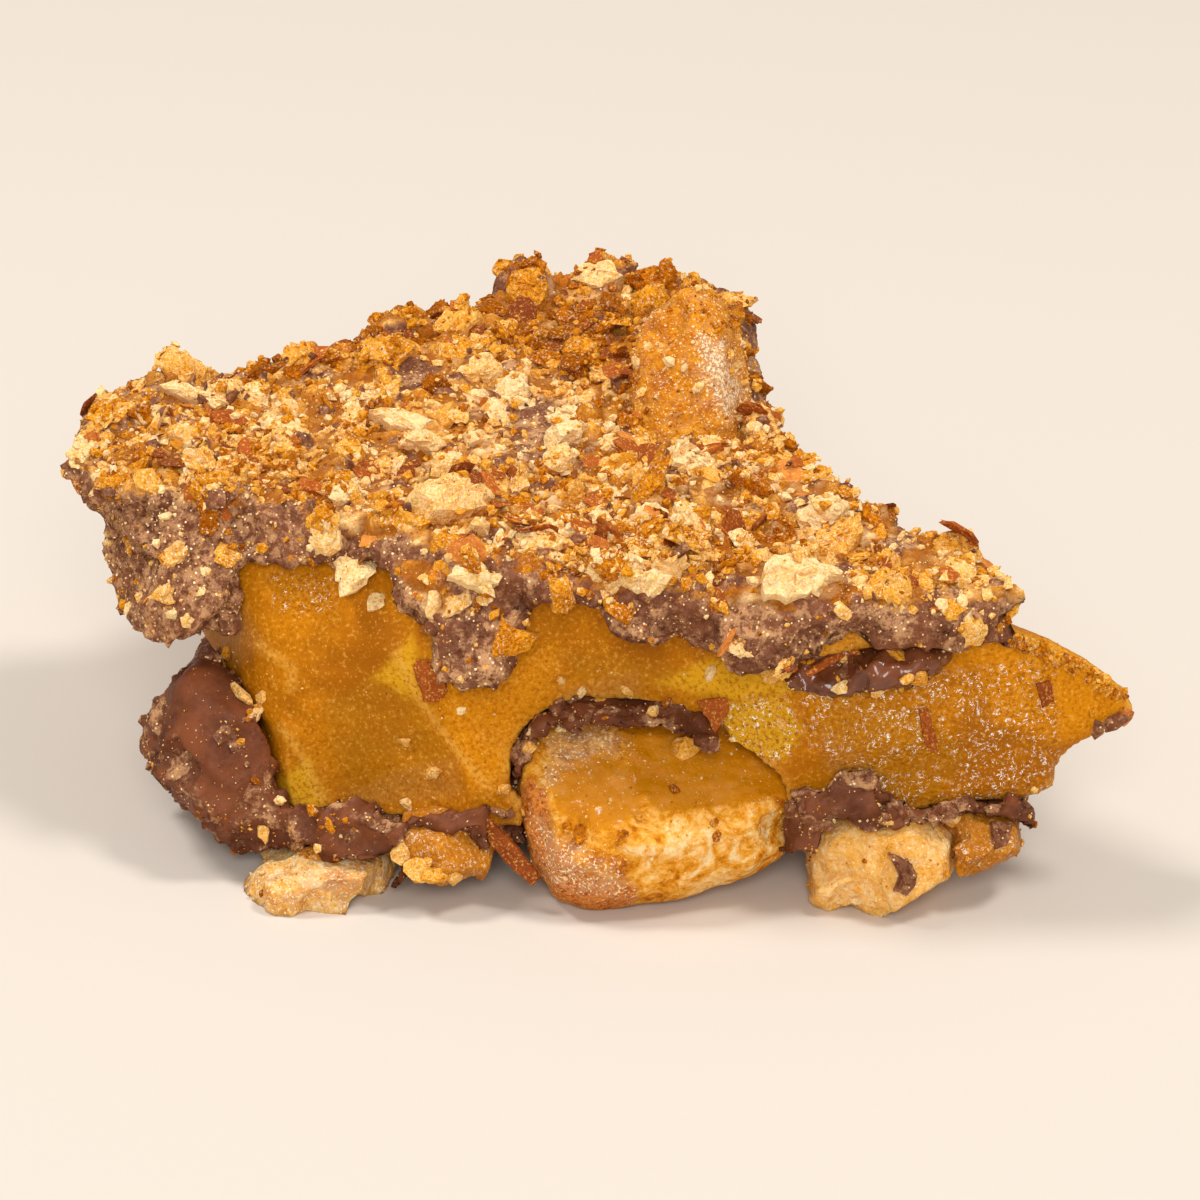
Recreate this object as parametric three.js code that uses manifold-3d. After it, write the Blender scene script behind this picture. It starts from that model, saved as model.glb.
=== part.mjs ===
// English toffee: one broken piece of almond toffee between two coats of chocolate, with crushed
// almonds pressed into the upper coat and broken almonds under the lower one.
// Millimetres, +Z up. The broken front faces -Y, and the long right tip points along +X.
import * as THREE from "three";
import { ImprovedNoise } from "three/addons/math/ImprovedNoise.js";
import { mergeVertices } from "three/addons/utils/BufferGeometryUtils.js";
import Module from "manifold-3d";

const wasm = await Module();
wasm.setup();

// Driving dimensions
const GAP = 0.3; // clearance that touching pieces keep
const TOFFEE_BASE = 4.1; // height of the toffee's underside at the middle of the piece
const TOFFEE_TOP = 15.1; // height of its upper side there
const BASE_SLOPE = 0.06; // the underside climbs to the right
const TOP_SLOPE = -0.03; // the upper side falls to the right
const COAT_THICK = 1.8; // upper chocolate with its crushed almonds
const UNDERCOAT_THICK = 1.9; // lower chocolate
const KEEL_START = -17; // left of this the undercoat curls up off the table
const KEEL_RISE = 0.2; // millimetres up for each millimetre to the left
const OVERHANG = 0.9; // how far both coats stand proud of the toffee
const SKIRT_THICK = 0.8; // chocolate that hangs down or stands up against the toffee's side
const SHELL_THICK = 0.6; // chocolate over the front almond, where it is pressed into the toffee

// Outline
const MIDDLE = new THREE.Vector2(-2, -3); // the caps close on this point
const STEPS_PER_SIDE = 5;
const TIP_LEVEL = 0.42; // share of the way up at which the sides stand out furthest
const CURVE_BELOW = 4; // how the sides curve in below that level, 1 gives straight slopes
const CURVE_ABOVE = 1.8; // and above it
const CORNER_TENSION = 0.22; // 0 gives straight sides, 0.5 a fully rounded outline
const CORNERS = [
  { name: "right tip", base: [22.3, -13.8], middle: [26.3, -13.2], top: [19.4, -14.6] },
  { name: "right shoulder", base: [18.0, -9.5], middle: [19.8, -9.0], top: [17.0, -10.4] },
  { name: "waist", base: [9.5, -1.6], middle: [9.6, -0.2], top: [8.8, 0.4] },
  { name: "behind the waist", base: [7.2, 8.5], middle: [7.8, 9.8], top: [6.8, 10.2] },
  { name: "back right", base: [6.4, 16.5], middle: [7.8, 18.6], top: [7.0, 20.0] },
  { name: "back", base: [0.0, 20.0], middle: [1.0, 22.6], top: [1.5, 23.8] },
  { name: "back left", base: [-8.5, 14.2], middle: [-8.0, 16.2], top: [-8.0, 17.0] },
  { name: "left back", base: [-17.0, 6.4], middle: [-18.3, 7.4], top: [-18.8, 7.5] },
  { name: "left", base: [-18.4, -1.5], middle: [-20.2, -1.0], top: [-21.4, 0.0] },
  { name: "left front", base: [-15.8, -11.0], middle: [-16.8, -9.6], top: [-18.2, -6.2] },
  { name: "front left", base: [-9.8, -14.4], middle: [-9.8, -12.9], top: [-11.4, -8.8] },
  { name: "front middle", base: [-1.0, -14.8], middle: [-1.0, -14.6], top: [-1.5, -14.0] },
  { name: "front right", base: [11.0, -15.4], middle: [12.0, -16.0], top: [11.0, -15.4] },
];
const AROUND = CORNERS.length * STEPS_PER_SIDE;

// Rings of each skin, as shares of the way from the middle to the outline, and up the side
const CAP_SHARES = [0.55];
const COAT_SHARES = [0.3, 0.55, 0.78, 0.93];
const UNDERCOAT_SHARES = [0.45, 0.85];
const SIDE_SHARES = [1, 0.86, 0.71, 0.56, TIP_LEVEL, 0.28, 0.14, 0];

// Where the coats leave their even edge: a spot on the outline, how far it reaches, the share of its
// reach that it holds at full size, how far the chocolate runs up or down, and how thick it is
const HOLD = 0.45;
const LIPS = [{ name: "left lip", at: [-21.4, 1.5], reach: 9.5, thick: 4.6 }];
const DRIPS = [
  { name: "left lobe", at: [-21.0, -2.2], reach: 5.8, hold: 0.7, run: 4.3, thick: 2.7 },
  { name: "front flap", at: [-6.3, -11.7], reach: 3.8, hold: 0.68, run: 3.2, thick: 1.2 },
  { name: "front run", at: [7.0, -15.2], reach: 4.0, run: 1.3, thick: 0.4 },
  { name: "left back run", at: [-13.5, 12.6], reach: 4.5, run: 3.0, thick: 1.0 },
  { name: "waist run", at: [7.0, 9.0], reach: 4.0, run: 2.2, thick: 0.8 },
];
const UPSTANDS = [
  { name: "left lump", at: [-17.4, -7.4], reach: 5.4, hold: 0.62, run: 5.8, thick: 4.4 },
  { name: "left end", at: [-18.4, 2.0], reach: 6.0, run: 2.2, thick: 2.0 },
  { name: "front left band", at: [-13.4, -12.6], reach: 5.0, hold: 0.5, run: 1.1, thick: 0.9 },
  { name: "over the left chip", at: [-6.6, -14.6], reach: 4.2, hold: 0.6, run: 0.9, thick: 0.1 },
  { name: "right of the front almond", at: [11.2, -15.3], reach: 3.6, hold: 0.3, run: 2.7, thick: 0.3 },
];
const EVEN_RUN = 0.3; // least height of a skirt
const RAGGED = 0.7; // unevenness of both coats' edges
const RAGGED_SIZE = 3.4; // and its spacing
const CORE_INSET = 1.2; // the coats are made this far into the toffee before its room is cut out
const EDGE_ROUND = 0.6; // how far in from a coat's edge its flat side starts to round over
const EDGE_FALL = 0.2; // and how far the flat side has dropped there
const EDGE_BELLY = 0.42; // share of a coat's thickness, from the toffee, where its edge stands out most
const LIP_TUCK = 0.6; // share of its overhang that a lip keeps where it meets the skirt below

// Sections of a skirt from its root to its end: shares of its thickness and of its run
const DRIP_SECTION = [
  [0.9, 0.2],
  [1.05, 0.6],
  [1.15, 1],
];
const UPSTAND_SECTION = [
  [1, 0.2],
  [0.85, 0.6],
  [0.5, 1],
];
const SKIRT_TUCK = 0.85; // share of its run at which a skirt's end turns in to the toffee

// Scoops that the break left in the toffee's side: a spot on the face, the scoop's radius and depth
const SCOOPS = [
  { name: "front left hollow", at: [-11.2, -13.4, 7.8], from: [-0.25, -1, 0.1], radius: 9, depth: 2.3 },
  { name: "front facet", at: [-1.6, -14.4, 11.6], from: [0.1, -1, 0.25], radius: 8.5, depth: 1.5 },
  { name: "under the coat", at: [7.0, -15.4, 12.4], from: [0, -1, 0.35], radius: 7, depth: 0.8 },
  { name: "front right dish", at: [12.0, -16.2, 7.4], from: [0, -1, 0], radius: 5, depth: 0.5 },
  { name: "waist hollow", at: [9.6, 0.0, 9.0], from: [1, 0.4, 0.1], radius: 10, depth: 1.2 },
  { name: "back hollow", at: [5.0, 21.0, 9.5], from: [0.4, 1, 0], radius: 8, depth: 1.4 },
  { name: "left back hollow", at: [-13.0, 12.0, 8.5], from: [-0.7, 1, 0], radius: 9, depth: 1.5 },
];
const ROUGHNESS = 0.28; // small unevenness of the broken sides
const ROUGH_SIZE = 3.2; // and its spacing
const COAT_RELIEF = 0.45; // height of the crumbs' heaps and dips
const COAT_RELIEF_SIZE = 4.2; // and their spacing
const UNDERCOAT_RELIEF = 0.3;

// Broken almonds: size along, across and through the nut, its turn in degrees, its centre, and the
// planes that it is broken along. Every nut that touches the table is worn flat there.
const NUT_SIDES = 14;
const NUT_RINGS = 8;
const NUT_TAPER = 0.14; // how much narrower its point is than its middle
const NUT_FULLNESS = 0.82; // 1 gives an egg, less a squarer nut
const NUTS = {
  almond_front: {
    size: [14.0, 11.6, 9.6],
    turn: [3, 0, -86],
    at: [3.1, -11.5, 4.6],
    fullness: 0.66,
    taper: 0.19,
    breaks: [{ at: [2.3, -15.4, 5.8], faces: [0.05, -0.6, 0.8] }],
  },
  almond_right: {
    size: [9.6, 7.4, 6.0],
    turn: [12, 0, 20],
    at: [13.2, -13.4, 2.0],
    breaks: [
      { at: [13.2, -17.0, 2], faces: [-0.2, -1, 0.25] },
      { at: [10.4, -14, 2], faces: [-1, -0.12, 0.05] },
      { at: [15.6, -16, 1.0], faces: [0.55, -0.43, -0.72] },
    ],
  },
  almond_left: {
    size: [6.6, 7.4, 2.6],
    turn: [0, 0, 84],
    at: [-13.6, -13.4, 0.5],
    fullness: 0.5,
    breaks: [
      { at: [-13.6, -16.6, 1], faces: [0.08, -1, 0.2] },
      { at: [-16.4, -14, 1], faces: [-1, -0.15, 0.1] },
      { at: [-10.8, -14, 1], faces: [1, -0.25, 0.1] },
    ],
  },
  almond_back_left: { size: [12, 8.2, 6.4], turn: [0, 0, 35], at: [-9.5, 7.5, 2.3], breaks: [] },
  almond_back_right: { size: [11, 8, 6.4], turn: [0, 0, -20], at: [3.0, 13.6, 2.4], breaks: [] },
};
const STANDING_NUT = {
  size: [12.5, 6.2, 5.0],
  turn: [64, -8, -10],
  at: [4.7, 5.2, 17.2],
  breaks: [{ at: [7.0, 5, 18], faces: [1, -0.35, 0.28] }],
};

// Chips of toffee under the lower coat, and the streak of chocolate in the toffee's front
const CHIPS = {
  toffee_chip_left: { size: [5.4, 5.4, 3.6], turn: [0, 14, 31], at: [-7.6, -14.1, 2.5] },
  toffee_chip_right: { size: [6.2, 5.6, 3.4], turn: [0, -10, 28], at: [17.9, -14.0, 3.1] },
};
const SEAM = { size: [7.8, 3.4, 1.6], turn: [0, -7, 3], at: [12.9, -14.9, 12.8] };

// Corners broken off the lower coat: a spot of the break, the way it faces, and the size of the corner
const BREAKS = {
  lump_shoulder: { at: [-21.4, -8, 7.7], faces: [-0.73, 0.26, 0.63], size: 12 },
  lump_keel: { at: [-20.3, -8, 1.1], faces: [-0.75, -0.35, -0.55], size: 12 },
  beside_front_almond: { at: [-3.7, -13.6, 3.0], faces: [0.1, -1, 0], size: 4 },
  at_almond_point: { at: [9.3, -16.6, 4.2], faces: [-1, -0.3, 0.1], size: 6.4 },
  right_end: { at: [20.9, -13, 4], faces: [1, -0.25, 0], size: 9 },
};

// Where the chocolate over the front almond ends: at its left foot, and to the right of its crown
const SHELL_ENDS = {
  left_foot: { at: [-3.6, -14.6, 6.4], faces: [-0.35, -0.75, -0.55], size: 7 },
  right_end: { at: [5.9, -14.5, 9], faces: [0.9, -0.3, 0.3], size: 9 },
};

// Crushed almonds fused to the coats: the ones that stand out, then the rest with the largest first
const CRUMB_SEED = 7;
const LARGE_CRUMBS = [
  { name: "front slice", size: [4.6, 2.8, 1.4], turn: [14, 4, -12], at: [9.8, -14.4] },
  { name: "middle half", size: [4.4, 3.6, 2.2], turn: [8, 0, 10], at: [-7.4, -5.6] },
  { name: "back chunk", size: [3.0, 3.0, 2.8], turn: [20, 10, 30], at: [-4.0, 20.6] },
  { name: "back slice", size: [3.4, 2.6, 2.0], turn: [10, 0, 5], at: [0.2, 23.0] },
  { name: "right chunk", size: [2.4, 2.0, 2.4], turn: [20, 0, 60], at: [11.6, -9.8] },
  { name: "left sliver", size: [3.8, 1.4, 1.2], turn: [0, 4, -12], at: [-10.1, 3.5] },
  { name: "middle flake", size: [4.6, 3.2, 1.8], turn: [6, -6, -20], at: [2.2, -6.5] },
  { name: "left lip nib", size: [3.2, 2.6, 2.2], turn: [0, 20, 40], at: [-24.4, 2.0] },
  { name: "left shoulder nib", size: [3.0, 2.4, 2.0], turn: [10, 0, 15], at: [-21.2, 5.6] },
  { name: "back left heap", size: [5.0, 3.4, 2.4], turn: [0, 0, 30], at: [-10.6, 14.4] },
  { name: "right step", size: [3.6, 3.0, 2.4], turn: [0, 12, 10], at: [19.9, -14.3, 15.3] },
];
const UPPER_CRUMBS = { count: 110, largest: 3.8, smallest: 2.2, low: [-25, -17], high: [22, 25] };
const FOOT_CRUMBS = [
  { name: "beside the left slice", size: [2.8, 2.4, 2.6], turn: [0, 10, 20], at: [-10.4, -14.4, 1.3] },
  { name: "beside the right almond", size: [2.2, 2.2, 2.4], turn: [0, 0, 0], at: [10.2, -14.6, 3.4] },
];
const LOWER_CRUMBS = { count: 22, largest: 3.6, smallest: 2.4, low: [-18, -14], high: [18, 19] };
const CRUMB_SHAPE = [1, 0.8, 0.66]; // length, width and thickness for each millimetre of size
const CRUMB_JITTER = 0.3;
const CRUMB_TILT = 25; // degrees either way
const CRUMB_SUNK = 0.14; // share of its size that a crumb's centre lies below the surface
const CRUMB_CLEARANCE = 0.3; // share of its size that a crumb keeps from the edge
const PLASTIC_NUMBER = 1.324717957244746; // spaces the crumbs evenly over a rectangle

const TABLE_SIZE = 200;
const noise = new ImprovedNoise();
const { clamp, degToRad, lerp, seededRandom, smoothstep } = THREE.MathUtils;

// Surfaces
const toffeeBase = (x) => TOFFEE_BASE + BASE_SLOPE * x;
const toffeeTop = (x) => TOFFEE_TOP + TOP_SLOPE * x;

function coatTop(x, y) {
  const heaps = noise.noise(x / COAT_RELIEF_SIZE, y / COAT_RELIEF_SIZE, 0.5);
  return toffeeTop(x) + GAP + COAT_THICK + COAT_RELIEF * heaps;
}

function undercoatBottom(x, y) {
  const keel = KEEL_RISE * Math.max(0, KEEL_START - x);
  const heaps = noise.noise(x / COAT_RELIEF_SIZE, y / COAT_RELIEF_SIZE, 7.5);
  return toffeeBase(x) - GAP - UNDERCOAT_THICK + keel + UNDERCOAT_RELIEF * heaps;
}

// Outline curves at the toffee's base, middle height and top
const outlines = ["base", "middle", "top"].map((level) => {
  const points = CORNERS.map((corner) => new THREE.Vector3(...corner[level], 0));
  return new THREE.CatmullRomCurve3(points, true, "catmullrom", CORNER_TENSION);
});

// A point of the toffee's side, a step round the outline and a share of the way up.
function sidePoint(step, share) {
  const [base, middle, top] = outlines.map((curve) => curve.getPoint((step % AROUND) / AROUND));
  if (share < TIP_LEVEL) return base.lerp(middle, (share / TIP_LEVEL) ** CURVE_BELOW);
  return middle.lerp(top, ((share - TIP_LEVEL) / (1 - TIP_LEVEL)) ** CURVE_ABOVE);
}

// The same point moved out from the toffee.
function besideToffee(step, out, share) {
  const here = sidePoint(step, share);
  const along = sidePoint(step + 1, share).sub(sidePoint(step + AROUND - 1, share)).normalize();
  return new THREE.Vector3(here.x + out * along.y, here.y - out * along.x, 0);
}

// A point beside the toffee at a height.
function besideAt(step, out, height) {
  const { x } = sidePoint(step, TIP_LEVEL);
  const share = clamp((height - toffeeBase(x)) / (toffeeTop(x) - toffeeBase(x)), 0, 1);
  return besideToffee(step, out, share).setZ(height);
}

// A point of a cap, a share of the way from the middle to the outline at a level.
function capPoint(step, level, share, heightAt) {
  const rim = sidePoint(step, level);
  const x = lerp(MIDDLE.x, rim.x, share);
  const y = lerp(MIDDLE.y, rim.y, share);
  return new THREE.Vector3(x, y, heightAt(x, y));
}

// The largest of one measure of a list of spots, felt at a point of the outline.
function spotEffect(spots, measure, point) {
  const effects = spots.map((spot) => {
    const { at, reach, hold = HOLD } = spot;
    const away = Math.hypot(point.x - at[0], point.y - at[1]) / reach;
    return spot[measure] * (1 - smoothstep(away, hold, 1));
  });
  return Math.max(0, ...effects);
}

// How far the edge of a coat strays from its even line at a step round the outline.
function ragged(point, row) {
  return RAGGED * noise.noise(point.x / RAGGED_SIZE, point.y / RAGGED_SIZE, row);
}

// A closed skin from one profile for each step round the outline. Each profile runs from the upper
// pole, out, down and in to the lower pole, and all have the same number of points.
function skin(profileAt, upperPole, lowerPole) {
  const positions = [];
  const triangles = [];
  for (let step = 0; step < AROUND; step++) {
    for (const point of profileAt(step)) positions.push(point.x, point.y, point.z);
  }
  const rows = positions.length / 3 / AROUND;
  const upper = rows * AROUND;
  const lower = upper + 1;
  positions.push(...upperPole, ...lowerPole);
  for (let step = 0; step < AROUND; step++) {
    const here = step * rows;
    const next = ((step + 1) % AROUND) * rows;
    triangles.push(upper, here, next);
    for (let row = 0; row < rows - 1; row++) {
      triangles.push(here + row, here + row + 1, next + row + 1);
      triangles.push(here + row, next + row + 1, next + row);
    }
    triangles.push(here + rows - 1, lower, next + rows - 1);
  }
  const geometry = new THREE.BufferGeometry();
  geometry.setAttribute("position", new THREE.Float32BufferAttribute(positions, 3));
  geometry.setIndex(triangles);
  return geometry;
}

// Solids and geometries
function solidOf(geometry) {
  const bare = geometry.clone();
  bare.deleteAttribute("normal");
  bare.deleteAttribute("uv");
  const merged = mergeVertices(bare, 1e-4);
  const vertProperties = new Float32Array(merged.getAttribute("position").array);
  const triVerts = new Uint32Array(merged.getIndex().array);
  return new wasm.Manifold(new wasm.Mesh({ numProp: 3, vertProperties, triVerts }));
}

function geometryOf(solid) {
  const mesh = solid.getMesh();
  const geometry = new THREE.BufferGeometry();
  geometry.setAttribute("position", new THREE.BufferAttribute(new Float32Array(mesh.vertProperties), 3));
  geometry.setIndex(new THREE.BufferAttribute(new Uint32Array(mesh.triVerts), 1));
  geometry.computeVertexNormals();
  return geometry;
}

// The largest body of a solid, without loose scraps or sealed hollows.
function mainBody(solid) {
  const bodies = solid.decompose();
  return bodies.reduce((best, body) => (body.volume() > best.volume() ? body : best));
}

function placement(turn, at) {
  const [x, y, z] = turn.map(degToRad);
  const rotation = new THREE.Quaternion().setFromEuler(new THREE.Euler(x, y, z, "ZYX"));
  return new THREE.Matrix4().compose(new THREE.Vector3(...at), rotation, new THREE.Vector3(1, 1, 1));
}

// All that lies behind a plane: a large block with one face on it.
function behindPlane({ at, faces }) {
  const block = new THREE.BoxGeometry(TABLE_SIZE, TABLE_SIZE, TABLE_SIZE);
  block.translate(0, 0, -TABLE_SIZE / 2);
  const outward = new THREE.Vector3(...faces).normalize();
  block.applyQuaternion(new THREE.Quaternion().setFromUnitVectors(new THREE.Vector3(0, 0, 1), outward));
  block.translate(...at);
  return solidOf(block);
}

const aboveTable = behindPlane({ at: [0, 0, 0], faces: [0, 0, -1] });

// A corner that a break takes off: a block that lies on the outer side of it, moved out by a margin.
function brokenCorner({ at, faces, size }, margin = 0) {
  const block = new THREE.BoxGeometry(size, size, size);
  block.translate(0, 0, size / 2 + margin);
  const outward = new THREE.Vector3(...faces).normalize();
  block.applyQuaternion(new THREE.Quaternion().setFromUnitVectors(new THREE.Vector3(0, 0, 1), outward));
  block.translate(...at);
  return solidOf(block);
}

// A whole almond, a squarish ball drawn out to a blunt point, grown by a margin on every side.
function wholeNut({ size, turn, at, fullness = NUT_FULLNESS, taper = NUT_TAPER }, margin) {
  const [length, width, thick] = size.map((measure) => measure / 2 + margin);
  const ball = new THREE.SphereGeometry(1, NUT_SIDES, NUT_RINGS);
  const position = ball.getAttribute("position");
  const fuller = (part) => Math.sign(part) * Math.abs(part) ** fullness;
  for (let i = 0; i < position.count; i++) {
    const along = fuller(position.getY(i));
    const narrowed = 1 - taper * along;
    const across = fuller(position.getX(i)) * narrowed;
    const through = fuller(position.getZ(i)) * narrowed;
    position.setXYZ(i, across * width, along * length, through * thick);
  }
  ball.applyMatrix4(placement(turn, at));
  return solidOf(ball);
}

function brokenNut(nut) {
  return nut.breaks.reduce((left, plane) => left.intersect(behindPlane(plane)), wholeNut(nut, 0));
}

// A chip with flat faces, or with a margin the room that it takes up.
function chip({ size, turn, at }, margin = 0) {
  const [length, width, thick] = size.map((measure) => measure / 2 + margin);
  const block = new THREE.DodecahedronGeometry(1, 0);
  block.scale(length, width, thick);
  block.applyMatrix4(placement(turn, at));
  return solidOf(block);
}

// A blade that thins to its edge all round, or with a margin the room that it takes up.
function blade({ size, turn, at }, margin = 0) {
  const [length, width, thick] = size.map((measure) => measure / 2 + margin);
  const ball = new THREE.SphereGeometry(1, NUT_SIDES, NUT_RINGS);
  ball.rotateX(Math.PI / 2);
  ball.scale(length, width, thick);
  ball.applyMatrix4(placement(turn, at));
  return solidOf(ball);
}

// A crushed piece of almond: a ball of twenty faces with its corners knocked about.
function crumb(size, turn, at) {
  const faceted = new THREE.IcosahedronGeometry(0.5, 0).deleteAttribute("normal").deleteAttribute("uv");
  const ball = mergeVertices(faceted);
  const position = ball.getAttribute("position");
  const corner = new THREE.Vector3();
  for (let i = 0; i < position.count; i++) {
    corner.fromBufferAttribute(position, i).multiplyScalar(1 + CRUMB_JITTER * (2 * seededRandom() - 1));
    position.setXYZ(i, corner.x, corner.y, corner.z);
  }
  ball.scale(...size);
  ball.applyMatrix4(placement(turn, at));
  return solidOf(ball);
}

// Crumbs spread evenly over a rectangle, kept where the rim leaves room for them.
function spreadCrumbs({ count, largest, smallest, low, high }, rim, heightAt, up) {
  const pieces = [];
  for (let i = 0; i < count; i++) {
    seededRandom(CRUMB_SEED + i);
    const x = lerp(low[0], high[0], (0.5 + i / PLASTIC_NUMBER) % 1);
    const y = lerp(low[1], high[1], (0.5 + i / PLASTIC_NUMBER ** 2) % 1);
    const length = lerp(largest, smallest, Math.sqrt(i / count));
    const tilt = CRUMB_TILT * (2 * seededRandom() - 1);
    const turn = [tilt, tilt / 2, 360 * seededRandom()];
    if (!insideRim(rim, x, y, length * CRUMB_CLEARANCE)) continue;
    const size = CRUMB_SHAPE.map((share) => share * length);
    pieces.push(crumb(size, turn, [x, y, heightAt(x, y) - up * CRUMB_SUNK * length]));
  }
  return pieces;
}

function largeCrumbs(list, heightAt) {
  return list.map(({ size, turn, at }, i) => {
    seededRandom(CRUMB_SEED - i);
    const [x, y, z = heightAt(x, y)] = at;
    return crumb(size, turn, [x, y, z]);
  });
}

// Whether a point lies inside a closed rim, at least a distance from it.
function insideRim(rim, x, y, distance) {
  let inside = false;
  for (let i = 0, j = rim.length - 1; i < rim.length; j = i++) {
    const a = rim[i];
    const b = rim[j];
    if (Math.hypot(a.x - x, a.y - y) < distance) return false;
    const crosses = a.y > y !== b.y > y && x < ((b.x - a.x) * (y - a.y)) / (b.y - a.y) + a.x;
    if (crosses) inside = !inside;
  }
  return inside;
}

// Toffee: the slab itself, with its broken and scooped sides
function toffeeSkin() {
  const profileAt = (step) => {
    const cap = (level, heightAt) => CAP_SHARES.map((share) => capPoint(step, level, share, heightAt));
    const side = SIDE_SHARES.map((share) => {
      const point = sidePoint(step, share);
      point.z = lerp(toffeeBase(point.x), toffeeTop(point.x), share);
      return scooped(roughened(point));
    });
    return [...cap(1, toffeeTop), ...side, ...cap(0, toffeeBase).reverse()];
  };
  const { x, y } = MIDDLE;
  return skin(profileAt, [x, y, toffeeTop(x)], [x, y, toffeeBase(x)]);
}

function roughened(point) {
  const { x, y, z } = point.clone().divideScalar(ROUGH_SIZE);
  const out = new THREE.Vector2(point.x - MIDDLE.x, point.y - MIDDLE.y).normalize();
  const rough = ROUGHNESS * (noise.noise(x, y, z) - 1);
  return point.add(new THREE.Vector3(out.x * rough, out.y * rough, 0));
}

// Moves a point that lies in a scoop level with the table to the scoop's surface.
function scooped(point) {
  for (const { at, from, radius, depth } of SCOOPS) {
    const centre = new THREE.Vector3(...from).setLength(radius - depth).add(new THREE.Vector3(...at));
    const away = point.clone().sub(centre);
    if (away.length() > radius) continue;
    const reach = Math.sqrt(radius ** 2 - away.z ** 2);
    point.copy(away.setZ(0).setLength(reach).add(centre).setZ(point.z));
  }
  return point;
}

// The room that the toffee takes up in the coats: its slab before breaking, grown on every side
function slabSkin(grow, sink) {
  const upper = (x) => toffeeTop(x) + grow;
  const lower = (x) => toffeeBase(x) - sink;
  const profileAt = (step) => {
    const cap = (level, heightAt) => CAP_SHARES.map((share) => capPoint(step, level, share, heightAt));
    const side = SIDE_SHARES.map((share) => {
      const point = besideToffee(step, grow, share);
      point.z = lerp(lower(point.x), upper(point.x), share);
      return point;
    });
    return [...cap(1, upper), ...side, ...cap(0, lower).reverse()];
  };
  const { x, y } = MIDDLE;
  return skin(profileAt, [x, y, upper(x)], [x, y, lower(x)]);
}

// Upper chocolate: a cap over the toffee whose skirt hangs down the sides in drips
function coatSkin() {
  const profileAt = (step) => {
    const edge = sidePoint(step, 1);
    const top = toffeeTop(edge.x);
    const drop = EVEN_RUN + spotEffect(DRIPS, "run", edge) + Math.abs(ragged(edge, 0.5));
    const out = OVERHANG + spotEffect(LIPS, "thick", edge) + ragged(edge, 1.5);
    const skirt = GAP + SKIRT_THICK + spotEffect(DRIPS, "thick", edge);
    const hang = ([thick, run]) => besideAt(step, thick * skirt, top - run * drop);
    const rim = besideAt(step, out - EDGE_ROUND, top);
    rim.z = coatTop(rim.x, rim.y) - EDGE_FALL;
    const [root, ...lower] = DRIP_SECTION;
    return [
      ...COAT_SHARES.map((share) => capPoint(step, 1, share, coatTop)),
      rim,
      besideAt(step, out, top + GAP + COAT_THICK * EDGE_BELLY),
      hang([Math.max(root[0], (out * LIP_TUCK) / skirt), root[1]]),
      ...lower.map(hang),
      hang([-CORE_INSET / skirt, SKIRT_TUCK]),
    ];
  };
  const { x, y } = MIDDLE;
  return skin(profileAt, [x, y, coatTop(x, y)], [x, y, toffeeTop(x) - EVEN_RUN]);
}

// Lower chocolate: the same the other way up, standing up the left end as a lump
function undercoatSkin() {
  const profileAt = (step) => {
    const edge = sidePoint(step, 0);
    const base = toffeeBase(edge.x);
    const rise = EVEN_RUN + spotEffect(UPSTANDS, "run", edge) + Math.abs(ragged(edge, 2.5));
    const skirt = GAP + SKIRT_THICK + spotEffect(UPSTANDS, "thick", edge);
    const out = Math.max(OVERHANG, skirt) + ragged(edge, 3.5) / 2;
    const stand = ([thick, run]) => besideAt(step, thick * skirt, base + run * rise);
    const rim = besideAt(step, out - EDGE_ROUND - (1 - LIP_TUCK) * (skirt - SKIRT_THICK), base);
    rim.z = undercoatBottom(rim.x, rim.y) + EDGE_FALL;
    return [
      stand([-CORE_INSET / skirt, SKIRT_TUCK]),
      ...UPSTAND_SECTION.map(stand).reverse(),
      besideAt(step, out, base - GAP - UNDERCOAT_THICK * EDGE_BELLY),
      rim,
      ...UNDERCOAT_SHARES.map((share) => capPoint(step, 0, share, undercoatBottom)).reverse(),
    ];
  };
  const { x, y } = MIDDLE;
  return skin(profileAt, [x, y, toffeeBase(x) + EVEN_RUN], [x, y, undercoatBottom(x, y)]);
}

// Fitting the pieces together
const without = (solid, pieces) => pieces.reduce((left, piece) => left.subtract(piece), solid);
const together = (solid, pieces) => pieces.reduce((whole, piece) => whole.add(piece), solid);
const nutPockets = Object.values(NUTS).map((nut) => wholeNut(nut, GAP));
const chipPockets = Object.values(CHIPS).map((piece) => chip(piece, GAP));
const toffeeRoom = solidOf(slabSkin(GAP, GAP));
const shellCorners = (margin) => Object.values(SHELL_ENDS).map((end) => brokenCorner(end, margin));
const wholeShell = wholeNut(NUTS.almond_front, SHELL_THICK).intersect(solidOf(slabSkin(GAP, SHELL_THICK)));
const shell = without(wholeShell, shellCorners(0));
const shellPocket = without(wholeNut(NUTS.almond_front, SHELL_THICK + GAP), shellCorners(GAP));
const pockets = [...nutPockets, ...chipPockets];
const toffee = without(solidOf(toffeeSkin()), [shellPocket, blade(SEAM, GAP), ...pockets]);

const rimAt = (share) => Array.from({ length: AROUND }, (_, step) => besideToffee(step, OVERHANG, share));
const spreadAbove = spreadCrumbs(UPPER_CRUMBS, rimAt(1), coatTop, 1);
const upperCrumbs = [...largeCrumbs(LARGE_CRUMBS, coatTop), ...spreadAbove];
const coat = without(together(solidOf(coatSkin()), upperCrumbs), [toffeeRoom, wholeNut(STANDING_NUT, GAP)]);

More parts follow.
